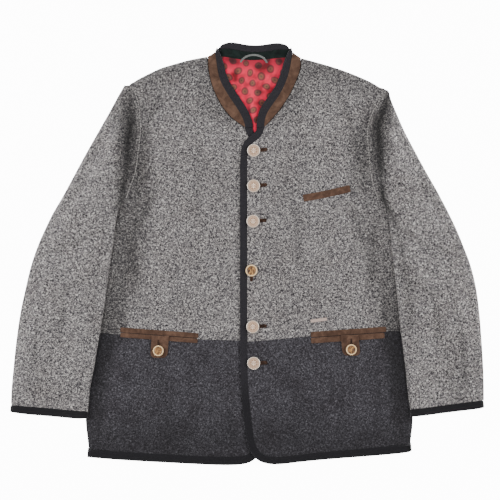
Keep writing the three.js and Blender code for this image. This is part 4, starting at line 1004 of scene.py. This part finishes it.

# %% [markdown]
# The sleeves are full and stand up from the table, and the body sinks beside them. Shade is
# painted on the body there in a soft dark band. Its width and strength change along the side, so
# a short table gives them at some heights along Y.

# %% Bands of painted shade
# Band of painted shade on each front: height along Y in mm, width in mm, strength
BODY_BANDS = {
    "left": [(-375, 60, 0.42), (-310, 50, 0.45), (-235, 42, 0.62), (-180, 46, 0.66), (-124, 66, 0.58),
             (-68, 68, 0.54), (-13, 84, 0.53), (43, 90, 0.48), (98, 68, 0.52), (154, 48, 0.58),
             (209, 40, 0.52), (246, 28, 0.4), (283, 18, 0.38), (320, 4, 0.0)],
    "right": [(-375, 60, 0.45), (-310, 50, 0.5), (-235, 48, 0.66), (-180, 48, 0.68), (-124, 52, 0.58),
              (-68, 62, 0.44), (-13, 74, 0.34), (43, 92, 0.28), (98, 82, 0.26), (154, 62, 0.5),
              (209, 56, 0.55), (246, 32, 0.42), (283, 14, 0.3), (320, 4, 0.0)],
}
# Each sleeve beside the body: height along Y in mm, seam to fold in mm, strength of the painted shade, fade
# in mm
SLEEVE_BANDS = {
    "left": [(-290, 0, 0.1, 12), (60, 0, 0.1, 14), (98, 1, 0.88, 22), (119, 5, 0.86, 26),
             (154, 10, 0.82, 32), (209, 17, 0.95, 32), (246, 12, 0.9, 55), (283, 8, 0.66, 46),
             (300, 0, 0.4, 20), (312, 0, 0.0, 20)],
    "right": [(-290, 0, 0.2, 12), (43, 0, 0.4, 24), (75, 0, 0.7, 16), (98, 1, 1.0, 14),
              (119, 7, 0.86, 18), (135, 10, 0.66, 20), (154, 14, 0.88, 22), (209, 16, 0.95, 30),
              (246, 12, 0.95, 40), (283, 8, 0.85, 30), (300, 0, 0.5, 20), (312, 0, 0.0, 20)],
}
# Soft painted shades on the sleeves: middle x, y, half width and half length in mm, strength
SLEEVE_SHADES = [(392, -225, 30, 55, 0.24), (-392, -235, 30, 50, 0.12), (-250, -70, 14, 120, -0.1),
                 (-268, -200, 14, 60, -0.1)]


def soft_shades(shades, places):
    """Painted shade that soft ovals add at each place."""
    shade_total = np.zeros(len(places))
    for x, y, wide, tall, shade_strength in shades:
        away = (places / MM - np.array([x, y])) / np.array([wide, tall])
        shade_total += shade_strength * np.exp(-np.sum(away ** 2, axis=1))
    return shade_total


print("heights in the tables", [len(rows) for rows in (*BODY_BANDS.values(), *SLEEVE_BANDS.values())])

# %% [markdown]
# A front falls away beside the sleeve, and shade is painted there, on the padded shoulder and
# above the hem. The mouth of each pocket, between its two welts, gets the darkest painted shade.

# %% Fronts beside the sleeves
BODY_FALL = 2.2 * MM
FALL_START = 12 * MM
# Share of a band that is shaded evenly, before it fades
FLAT_SHARE = 0.35
# Below the sleeve's shadow the band follows the side edge instead of the sleeve
SIDE_X = 296 * MM
FREE_BELOW = -205 * MM
PAINTED_SHOULDER_SHADE = 0.36
SHOULDER_WIDTH = 55 * MM
SHOULDER_START = 215 * MM
SHOULDER_FADE = 50 * MM
PAINTED_HEM_SHADE = 0.4
HEM_SHADE_START = -270 * MM
HEM_SHADE_REACH = 80 * MM
POCKET_MOUTH = 4 * MM
MOUTH_END = 7 * MM


def beside_sleeve(side):
    """Change of a front: the topstitched armhole, the fall of the body and its painted shade."""
    def change(places, depth):
        distance, _ = distance_to_loop(places, sleeve_rims[side])
        to_side = np.where(places[:, 1] < FREE_BELOW, SIDE_X - np.abs(places[:, 0]), np.inf)
        distance_in = np.minimum(distance, to_side)
        width, shade_strength = from_table(BODY_BANDS[side], places[:, 1] / MM)
        near = 1 - ease((distance_in / MM / width - FLAT_SHARE) / (1 - FLAT_SHARE))
        lift = topstitched(places, sleeve_rims[side]) - BODY_FALL * near * ease(distance / FALL_START)
        on_shoulder = ease((places[:, 1] - SHOULDER_START) / SHOULDER_FADE)
        edge = PAINTED_SHOULDER_SHADE * on_shoulder * (1 - ease(depth / SHOULDER_WIDTH))
        hem = PAINTED_HEM_SHADE * ease((HEM_SHADE_START - places[:, 1]) / HEM_SHADE_REACH)
        beside_welt = [distance_to_loop(places, rim)[0] < POCKET_MOUTH for rim in welt_rims[side]]
        mouth = np.all(beside_welt, axis=0)
        ends = np.concatenate(welt_rims[side])[:, 0]
        mouth &= (places[:, 0] > ends.min() + MOUTH_END) & (places[:, 0] < ends.max() - MOUTH_END)
        # Painted shade: the band beside the sleeve, the shoulder, the hem and the pocket mouths
        return lift, np.max([shade_strength * near, edge, hem, mouth], axis=0)
    return change


print("the body falls by", round(BODY_FALL / MM, 1), "mm")

# %% [markdown]
# Between the armhole seam and the fold of the sleeve lies a deep valley, and beyond the fold the
# sleeve swells. Shade is painted in the valley and fades beyond the fold. How far the fold is from
# the seam comes from the table of the sleeve.

# %% Full sleeves
SLEEVE_FULLNESS = 5.5 * MM
FULLNESS_START = 6 * MM
FULLNESS_REACH = 42 * MM
CUFF_CALM = -285 * MM
CUFF_FADE = 60 * MM
VALLEY_DEPTH = 2.4 * MM
VALLEY_HALF_WIDTH = 9 * MM
# Bottom of the valley, as a share of the way from the seam to the fold
VALLEY_PLACE = 0.9
# Painted shade at the seam, as a share of that at the fold
SEAM_SHARE = 0.72
# Stands for the distance of the fold, in mm, where there is none
LEAST_FOLD = 0.1
# Above 1, the painted shade falls quickly beyond the fold
FOLD_FALLOFF = 1.5
TUCK_DEPTH = 0.7 * MM
TUCK_WIDTH = 3 * MM


def full_sleeve(side):
    """Change of a sleeve: its fullness, the valley beside the armhole and the painted shade there and at the
    fold.
    """
    def change(places, depth):
        distance, _ = distance_to_loop(places, front_rims[side])
        fold, shade_strength, fade = from_table(SLEEVE_BANDS[side], places[:, 1] / MM)
        away = distance / MM
        within = SEAM_SHARE + (1 - SEAM_SHARE) * ease(away / np.maximum(fold, LEAST_FOLD))
        beyond = (1 - np.clip((away - fold) / fade, 0, 1)) ** FOLD_FALLOFF
        # Painted shade in the valley by the armhole, fading beyond the fold, and soft painted ovals
        pressed = shade_strength * np.where(away < fold, within, beyond) + soft_shades(SLEEVE_SHADES, places)
        cuff_calm = ease((places[:, 1] - CUFF_CALM) / CUFF_FADE)
        fullness = SLEEVE_FULLNESS * ease((depth - FULLNESS_START) / FULLNESS_REACH) * cuff_calm
        above = ease((places[:, 1] - ARMPIT_Y) / FALL_START)
        from_valley = (away - VALLEY_PLACE * fold) * MM
        valley = -VALLEY_DEPTH * above * np.exp(-(from_valley / VALLEY_HALF_WIDTH) ** 2)
        tuck = -TUCK_DEPTH * (1 - ease(distance / TUCK_WIDTH))
        return fullness + valley + tuck, pressed
    return change


print("the sleeves swell by", round(SLEEVE_FULLNESS / MM, 1), "mm")

# %% [markdown]
# The lining shows in the neck and is a finer, thinner sheet. It stands off the back a little, and
# shade from the collar and the fronts is painted on it.

# %% Loose lining
LINING_LIFT = 1.6 * MM
LINING_RISE = 14 * MM
COLLAR_SHADE = 0.55
COLLAR_SHADE_START = 334 * MM
COLLAR_SHADE_REACH = 22 * MM
# Soft painted shades on the lining, in the same columns as those of the sleeves
LINING_SHADES = [(0, 258, 5, 17, 0.75), (20, 246, 5, 14, 0.4), (56, 318, 7, 22, 0.35)]


def loose_lining(places, depth):
    """Change of the lining: it stands off the back, and shade is painted below the collar and in its point.
    """
    below_collar = COLLAR_SHADE * ease((places[:, 1] - COLLAR_SHADE_START) / COLLAR_SHADE_REACH)
    # Painted shade below the collar and in soft ovals
    return LINING_LIFT * ease(depth / LINING_RISE), below_collar + soft_shades(LINING_SHADES, places)


print("shades on the lining", len(LINING_SHADES))

# %% [markdown]
# The panels are laid in the order in which they lie: the back, the undersides of the sleeves, the
# fronts, the tops of the sleeves and the lining. The back and the undersides lie flat on the floor,
# so a coarser mesh is enough for them.

# %% Back, fronts, sleeves and lining
WOOL = 2.4 * MM
LINING = 0.8 * MM
BACK_SPACING = 9 * MM
LINING_SPACING = 3 * MM
LINING_OVERLAP = 4.5 * MM
FRONT_OVERLAP = 0.5 * MM
SLEEVE_OVERLAP = 1.2 * MM
neck_rim = fine_rim("neck_lining", LINING_SPACING)
lay_panel("back_upper", grey_wool, WOOL, [], BACK_SPACING)
lay_panel("back_lower", dark_wool, WOOL, [], BACK_SPACING)
for side in SIDES:
    rim = front_rims[side]
    on_seam = rim[distance_to_loop(rim, sleeve_rims[side])[0] < SEAM_NEAR]
    shoulder = on_seam[np.argmax(on_seam[:, 1])]
    lay_panel(f"sleeve_{side}_under", grey_wool, WOOL, [], BACK_SPACING,
              lengthen=CUFF_OVERHANG)
    lay_panel(f"front_{side}_upper", grey_wool, WOOL, BODY_CREASES,
              change=beside_sleeve(side), neighbours=[sleeve_rims[side], lower_rims[side]],
              overlap=FRONT_OVERLAP, shoulder=shoulder)
    lay_panel(f"front_{side}_lower", dark_wool, WOOL, BODY_CREASES,
              change=beside_sleeve(side), neighbours=[sleeve_rims[side], front_rims[side]],
              overlap=FRONT_OVERLAP)
    lay_panel(f"sleeve_{side}_top", grey_wool, WOOL, SLEEVE_CREASES,
              change=full_sleeve(side), neighbours=[front_rims[side]], overlap=SLEEVE_OVERLAP,
              shoulder=shoulder, lengthen=CUFF_OVERHANG)
lay_panel("neck_lining", satin, LINING, LINING_CREASES, LINING_SPACING,
          change=loose_lining, neighbours=[neck_rim], overlap=LINING_OVERLAP)
print("panels laid")

# %% [markdown]
# Tape, suede strips and the collar fold over or stand on edge, so they can't be made from their
# outline. They are copies of their solids, softened by subdivision. A strip is walked ring by ring
# from its end, to measure each point along and across it for the ribs of its weave.

# %% Measured strips
RING_SIZE = 8


def measure_strip(solid, start, swell, sink, overlaps):
    """Writes how far along and across a strip each corner lies, widens it and sinks its ends."""
    along = solid.verts.layers.float.new("along")
    across = solid.verts.layers.float.new("across")
    ring = sorted(solid.verts, key=lambda v: (v.co - start).length)[:RING_SIZE]
    seen = set(ring)
    middle = sum((v.co for v in ring), Vector()) / len(ring)
    travelled = 0.0
    first, first_way = ring, None
    while ring:
        size = float(from_table(swell, middle.y / MM)[0])
        for corner in ring:
            corner[along] = travelled
            corner[across] = (corner.co - middle).length
            corner.co = middle + (corner.co - middle) * size
        ring = list({e.other_vert(v) for v in ring for e in v.link_edges} - seen)
        seen.update(ring)
        if ring:
            onward = sum((v.co for v in ring), Vector()) / len(ring)
            last, last_way = ring, (onward - middle).normalized()
            if first_way is None:
                first_way = -last_way
            travelled += (onward - middle).length
            middle = onward
    ends = [(first, first_way), (last, last_way)]
    for (end, outward), overlap in zip(ends, overlaps):
        for corner in end:
            corner.co += overlap * outward - Vector((0, 0, sink))
    return travelled


print("a ring has", RING_SIZE, "corners")

# %% [markdown]
# The padded back of the collar is a little wider and taller than its solid, and the braid folds
# over deeper at the hem and the cuffs, where the cloth is thick.

# %% Collar and hem
COLLAR_MIDDLE = 11 * MM
COLLAR_WIDENING = 0.15
COLLAR_BACK_HALF = 58 * MM
COLLAR_BACK_FADE = 16 * MM
COLLAR_BACK_START = 356 * MM
COLLAR_BACK_REACH = 10 * MM
COLLAR_LIFT = 1.6 * MM


def fill_collar(solid):
    """Makes the back of the collar a little wider and taller, as its padding does."""
    for corner in solid.verts:
        aside = corner.co.x - COLLAR_MIDDLE
        share = float(ease((corner.co.y - COLLAR_BACK_START) / COLLAR_BACK_REACH)
                      * (1 - ease((abs(aside) - COLLAR_BACK_HALF) / COLLAR_BACK_FADE)))
        corner.co.x += COLLAR_WIDENING * share * aside
        corner.co.y += COLLAR_LIFT * share


# Corners whose normal points down by more than this along Y are on the lower side of a braid
FACING_DOWN = -0.2
DEEP_BELOW = -250 * MM
# How far the braid folds over the hem and the cuffs: place along X and depth, both in mm
BRAID_DEPTH = [(-442, 0), (-430, 1.6), (-410, 2.6), (-312, 2.8), (-301, 0.6), (-298, 1.2), (-288, 3.0),
               (-150, 2.2), (0, 3.0), (20, 1.2), (96, 0.2), (207, 1.2), (250, 5.4), (290, 7.8), (301, 7.0),
               (304, 0.6), (320, 1.6), (430, 2.4), (440, 0.6)]


def deepen(solid):
    """Moves the lower side of a braid down at the hem and the cuffs, where it folds over deeper."""
    solid.normal_update()
    for corner in solid.verts:
        if corner.co.y < DEEP_BELOW and corner.normal.y < FACING_DOWN:
            corner.co.y -= MM * float(from_table(BRAID_DEPTH, corner.co.x / MM)[0])


print("the braid folds over", max(depth for _, depth in BRAID_DEPTH), "mm deeper at most")

# %% [markdown]
# Subdivision rounds a form. Sharp edges of the solid are marked as creases, which stay crisper
# than the rest, and pairs of triangles become quads first, because they round without dents.

# %% Softened copies
SHARP_EDGE = math.radians(50)
FLAT_PAIR = math.radians(30)
SOFTENING_LEVELS = 2


def soften(node, material, crispness=0.35, start=None, swell=None, sink=0.0,
           overlaps=(0.0, 0.0), shift=(0.0, 0.0, 0.0), stretch=(1.0, 1.0)):
    """A softened copy of a solid that takes its place."""
    solid = merged_solid(node)
    if start is not None:
        measure_strip(solid, start, swell, sink, overlaps)
    low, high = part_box(node)
    middle = (low + high) / 2
    for corner in solid.verts:
        away = corner.co - middle
        corner.co = middle + Vector((away.x * stretch[0], away.y * stretch[1], away.z)) + Vector(shift)
    if "collar" in node:
        fill_collar(solid)
    if "braid" in node:
        deepen(solid)
    bmesh.ops.join_triangles(solid, faces=solid.faces, angle_face_threshold=FLAT_PAIR,
                             angle_shape_threshold=math.pi)
    crease = solid.edges.layers.float.new("crease_edge")
    for edge in solid.edges:
        if edge.calc_face_angle(0) > SHARP_EDGE:
            edge[crease] = crispness
    mesh = bpy.data.meshes.new(f"{node}_soft")
    solid.to_mesh(mesh)
    solid.free()
    piece = new_piece(f"{node}_soft", mesh, material, [node])
    softening = piece.modifiers.new("softening", "SUBSURF")
    softening.levels = SOFTENING_LEVELS
    softening.render_levels = SOFTENING_LEVELS
    return piece


print("softened", SOFTENING_LEVELS, "times")

# %% [markdown]
# The strips of braid are a little thicker than their solids, as wool braid swells over its edge,
# and run into each other where they meet. The loop is thinner, and its ends go under the collar.

# %% Braids and loop
# Girth of a strip as a share of its solid's: place along Y in mm and share
BRAID_SWELL = [(0, 1.12)]
COLLAR_SWELL = [(290, 1.34), (335, 1.26), (362, 1.12)]
NECK_END = 2.2 * MM
LEFT_HEM_END = 4.4 * MM
RIGHT_HEM_END = 4 * MM
LOOP_SWELL = [(0, 0.8)]
LOOP_SINK = 6 * MM
# The left cuff is a little wider than its solid and lies further out
CUFF_SHARE = 1.038
LEFT_CUFF_SHIFT = (-0.9 * MM, -CUFF_OVERHANG, 0)
BRAIDS = [
    # node, middle of its first end in mm, swell, overlap at its two ends
    ("braid_collar", (1.9, 234, 7.0), COLLAR_SWELL, (NECK_END, NECK_END)),
    ("braid_front_left", (2, 233, 5.8), BRAID_SWELL, (NECK_END, LEFT_HEM_END)),
    ("braid_front_right", (23.1, 231.9, 9.8), BRAID_SWELL, (NECK_END, RIGHT_HEM_END)),
    ("braid_back_hem", (-293, -367.5, 1.8), BRAID_SWELL, (LEFT_HEM_END, RIGHT_HEM_END)),
]
LOOP_START = Vector((-15, 350, 4.4)) * MM
for node, start, swell, overlaps in BRAIDS:
    soften(node, braid, start=Vector(start) * MM, swell=swell, overlaps=overlaps)
soften("hanger_loop", ribbon, start=LOOP_START, swell=LOOP_SWELL, sink=LOOP_SINK,
       overlaps=(NECK_END, NECK_END))
soften("braid_cuff_left", braid, shift=LEFT_CUFF_SHIFT, stretch=(CUFF_SHARE, 1.0))
soften("braid_cuff_right", braid, shift=(0, -CUFF_OVERHANG, 0))

# %% [markdown]
# The stand collar is suede outside and felt inside, sewn back to back. Welts close the pockets,
# tabs button over them, and small suede pieces edge the buttonholes. Each is cut flat.

# %% Suede and felt pieces
# Softening rounds the edges of a layer off, so it has a little less surface than its solid
TAB_HOLE_SHIFT = (0, 3 * MM, 0.6 * MM)
TAB_HOLE_STRETCH = (0.6, 1.4)
HOLE_STRETCH = (1.12, 1.35)


def declare_collar(piece):
    """Works out the area of a layer of the collar, which is then not used."""
    layer = bmesh.new()
    layer.from_mesh(piece.data)
    area = sum(face.calc_area() for face in layer.faces) / 2
    layer.free()


declare_collar(soften("collar_suede", suede, crispness=1.0))
declare_collar(soften("collar_felt", felt, crispness=1.0))
for node in sorted(nodes):
    if node.startswith("welt"):
        soften(node, suede, crispness=0.2)
    if node.startswith("tab"):
        soften(node, suede, crispness=0.7)
    if node.startswith("buttonhole_tab"):
        soften(node, edging, crispness=1.0, shift=TAB_HOLE_SHIFT, stretch=TAB_HOLE_STRETCH)
    elif node.startswith("buttonhole"):
        soften(node, edging, crispness=0.9, stretch=HOLE_STRETCH)
print("suede pieces done")

# %% [markdown]
# The armholes are topstitched by machine. Each stitch is a short thread that dips into the cloth at
# both ends, so it is built as a small spindle that lies on the surface: rings of points one after
# another, closed at both ends. A row is one piece, with its stitches a fixed step apart.

# %% Rows of stitches
STITCH_STEP = 5.0 * MM
STITCH_LENGTH = 3.8 * MM
THREAD_RADIUS = 0.75 * MM
A_LITTLE_ON = 1 * MM
# Place along a stitch and girth, as shares of its length and of its radius
SPINDLE = [(-0.5, 0.3), (-0.3, 0.85), (0.0, 1.0), (0.3, 0.85), (0.5, 0.3)]
SPINDLE_SIDES = 6


def turned_faces(rings, around, first=0):
    """Faces that join rings of points one after another and close both ends."""
    starts = [first + ring * around for ring in range(rings)]
    sides = [(a + k, a + (k + 1) % around, a + around + (k + 1) % around, a + around + k)
             for a in starts[:-1] for k in range(around)]
    return sides + [tuple(range(first + around - 1, first - 1, -1)),
                    tuple(range(starts[-1], starts[-1] + around))]


def stitch_row(name, path, surface, material):
    """A row of stitches along a path of points on the top of a surface."""
    steps = np.linalg.norm(np.diff(path, axis=0), axis=1)
    travelled = np.concatenate([[0], np.cumsum(steps)])
    points, faces = [], []
    for middle in np.arange(STITCH_STEP / 2, travelled[-1], STITCH_STEP):
        place, ahead = [np.array([np.interp(t, travelled, path[:, k]) for k in (0, 1)])
                        for t in (middle, min(middle + A_LITTLE_ON, travelled[-1]))]
        way = Vector((*(ahead - place), 0)).normalized()
        side = Vector((-way.y, way.x, 0))
        centre = Vector((*place, height_under(surface, *place)))
        first = len(points)
        for share, girth in SPINDLE:
            for k in range(SPINDLE_SIDES):
                angle = 2 * math.pi * k / SPINDLE_SIDES
                around = side * math.cos(angle) + Vector((0, 0, math.sin(angle)))
                points.append(centre + way * share * STITCH_LENGTH + around * THREAD_RADIUS * girth)
        faces += turned_faces(len(SPINDLE), SPINDLE_SIDES, first)
    mesh = bpy.data.meshes.new(name)
    mesh.from_pydata(points, [], faces)
    new_piece(name, mesh, material, [])
    print(name, len(points) // (len(SPINDLE) * SPINDLE_SIDES), "stitches")


print("a stitch every", round(STITCH_STEP / MM), "mm")

# %% [markdown]
# Each row follows the armhole seam on the body side, from the armpit to the shoulder. It is laid on
# the finished cloth, so that the stitches sit in the groove that they have pulled.

# %% Armhole stitches
def surface_of(piece):
    """Search tree of a piece's faces."""
    mesh = piece.data
    return BVHTree.FromPolygons([v.co for v in mesh.vertices], [p.vertices for p in mesh.polygons])


for side in SIDES:
    rim = front_rims[side]
    seam_distance, _ = distance_to_loop(rim, sleeve_rims[side])
    on_seam = (seam_distance < SEAM_NEAR) & (rim[:, 1] > ARMPIT_Y)
    while on_seam[0] or not on_seam[1]:
        rim, on_seam = np.roll(rim, -1, axis=0), np.roll(on_seam, -1)
    path = (rim - outward_of(rim) * STITCH_OFFSET)[on_seam]
    cloth = surface_of(bpy.data.objects[f"front_{side}_upper_cloth"])
    stitch_row(f"armhole_stitches_{side}", path, cloth, thread_grey)

# %% [markdown]
# The coin buttons are struck from thin metal: a beaded rim, a line, a wreath, a rosette and its
# middle in low relief. The pattern is a common one and no picture is copied. Each of these forms
# is a bump at its own share of the radius, and those that repeat dip between their repeats.

# %% Faces of the coin buttons
# Relief of a coin button: height in mm, place and width as shares of the radius, repeats around,
# how deep each repeat dips, how far it winds and how sharp it is
COIN_RELIEF = [
    (0.45, 0.95, 0.045, 0, 0.0, 0, 1.0),  # rim
    (0.32, 0.84, 0.035, 36, 0.45, 0, 1.0),  # beads
    (0.14, 0.75, 0.015, 0, 0.0, 0, 1.0),  # line
    (0.26, 0.62, 0.07, 16, 0.5, 22, 1.0),  # wreath
    (0.36, 0.28, 0.14, 8, 0.5, 0, 1.4),  # petals of the rosette
    (0.3, 0.0, 0.09, 0, 0.0, 0, 1.0),  # middle
]
COIN_EDGE = 2.2
COIN_DOME = 1.1
COIN_ROUNDING = 0.05
HOLLOW_TONE = 0.28
TONE_RISE = 1.6


def bell(value, middle, width):
    """Smooth bump of height 1."""
    return math.exp(-((value - middle) / width) ** 2)


def coin_face(share, angle):
    """Height in mm and relief from 0 to 1 on a struck coin button."""
    relief = 0.0
    for height, place, width, repeats, dip, winding, sharpness in COIN_RELIEF:
        pattern = 1 - dip + dip * math.cos(repeats * angle + winding * share)
        relief += height * bell(share, place, width) * max(pattern, 0.0) ** sharpness
    dome = COIN_DOME * (1 - bell(share, 1.0, COIN_ROUNDING))
    return COIN_EDGE + dome + relief, min(1.0, HOLLOW_TONE + TONE_RISE * relief)


print("relief of the coin rim", round(coin_face(0.95, 0.0)[0] - COIN_EDGE - COIN_DOME, 2), "mm")

# %% [markdown]
# The horn buttons are turned: a raised pale rim round a hollow with a fine line and two sewing
# holes. The rim is the bark of the horn, so it is paler than the rest.

# %% Faces of the horn buttons
HORN_HOLLOW = 2.3
# Height in mm, place and width as shares of the radius
HORN_RIM = (1.9, 0.86, 0.1)
HORN_LINE = (0.3, 0.5, 0.03)
HORN_HOLE = (0.4, 0.0, 0.07)
HOLE_ASIDE = 0.16
HORN_TONE = 0.1
BARK_START = 0.78


def raised(value, form):
    """Height of a bump of this height, place and width."""
    height, place, width = form
    return height * bell(value, place, width)


def horn_face(share, angle):
    """Height in mm and paleness from 0 to 1 on a turned horn button."""
    x, y = share * math.cos(angle), share * math.sin(angle)
    holes = sum(raised(math.hypot(x - aside, y), HORN_HOLE) for aside in (-HOLE_ASIDE, HOLE_ASIDE))
    height = HORN_HOLLOW + raised(share, HORN_RIM) - raised(share, HORN_LINE) - holes
    return height, 1.0 if share > BARK_START else HORN_TONE


print("the horn rim rises", HORN_RIM[0], "mm")

# %% [markdown]
# Both kinds are rings of points round an axis, whose height is worked out from the radius and the
# angle. The fourth front button has been replaced by a horn one in the picture.

# %% Buttons
AROUND = 96
FACE_RINGS = 26
# Back of a button: share of the radius and height in mm
BACK_OUTLINE = [(0.34, 0.0), (0.34, 1.0), (0.9, 1.0), (0.98, 1.6), (1.0, 2.2)]
BACK_TONE = 0.3
HORN_FRONT_BUTTON = "front_button_4"


def make_button(node, face, material):
    """A button with a fine face, at the place and size of its solid."""
    low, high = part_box(node)
    radius = (high.x - low.x) / 2
    middle = (low + high) / 2
    tall = (high.z - low.z) / MM
    rings = [(share, [z] * AROUND, [BACK_TONE] * AROUND) for share, z in BACK_OUTLINE]
    for k in range(FACE_RINGS):
        share = 1.0 - (k + 0.5) / FACE_RINGS
        made = [face(share, 2 * math.pi * i / AROUND) for i in range(AROUND)]
        rings.append((share, [min(m[0], tall) for m in made], [m[1] for m in made]))
    points, relief = [], []
    for share, heights, tones in rings:
        for i in range(AROUND):
            angle = 2 * math.pi * i / AROUND
            points.append((middle.x + radius * share * math.cos(angle),
                           middle.y + radius * share * math.sin(angle), low.z + heights[i] * MM))
            relief.append(tones[i])
    mesh = bpy.data.meshes.new(f"{node}_face")
    mesh.from_pydata(points, [], turned_faces(len(rings), AROUND))
    measure = mesh.attributes.new("relief", "FLOAT", "POINT")
    measure.data.foreach_set("value", relief)
    new_piece(f"{node}_face", mesh, material, [node])


for node in sorted(nodes):
    if node.startswith(("front_button", "pocket_button")):
        if node.startswith("pocket") or node == HORN_FRONT_BUTTON:
            make_button(node, horn_face, horn)
        else:
            make_button(node, coin_face, silver)
print("buttons done")

# %% [markdown]
# The small bar keeps its CAD shape and gets its metal. The floor is a large pale sheet that glows
# like a light table, so that it stays evenly white around the garment.

# %% Bar and floor
metal_bar = nodes["metal_bar"]
metal_bar.data.materials.clear()
metal_bar.data.materials.append(bare_metal)

FLOOR_SIZE = 8.0
FLOOR_GLOW = 12.0
floor_mesh = bpy.data.meshes.new("floor")
half = FLOOR_SIZE / 2
floor_mesh.from_pydata([(-half, -half, 0), (half, -half, 0), (half, half, 0), (-half, half, 0)], [],
                       [(0, 1, 2, 3)])
floor_material, _, _ = new_material(
    "white paper floor", Roughness=0.9, Base_Color=linear("#fbfbfb"), Emission_Color=linear("#ffffff"),
    Emission_Strength=FLOOR_GLOW)
floor_mesh.materials.append(floor_material)
floor = bpy.data.objects.new("floor", floor_mesh)
bpy.context.scene.collection.objects.link(floor)
print("floor of", FLOOR_SIZE, "m")

# %% [markdown]
# The light is soft: a bright even sky and a wide lamp low on each side. The left one is a little
# stronger, so that folds and nap show.

# %% Light
SKY_STRENGTH = 0.75
world = bpy.data.worlds.new("soft sky")
world.use_nodes = True
world.node_tree.nodes["Background"].inputs["Color"].default_value = linear("#ffffff")
world.node_tree.nodes["Background"].inputs["Strength"].default_value = SKY_STRENGTH
bpy.context.scene.world = world

LAMP_SIZE = 1.0
# Name, place in metres and power in watts
LAMPS = [("left lamp", (-1.5, 0.3, 1.1), 24), ("right lamp", (1.5, 0.3, 1.1), 19)]
for name, place, power in LAMPS:
    lamp_data = bpy.data.lights.new(name, "AREA")
    lamp_data.size = LAMP_SIZE
    lamp_data.energy = power
    lamp = bpy.data.objects.new(name, lamp_data)
    lamp.location = place
    lamp.rotation_euler = (-Vector(place)).to_track_quat("-Z", "Y").to_euler()
    bpy.context.scene.collection.objects.link(lamp)
print("lamps", len(LAMPS))
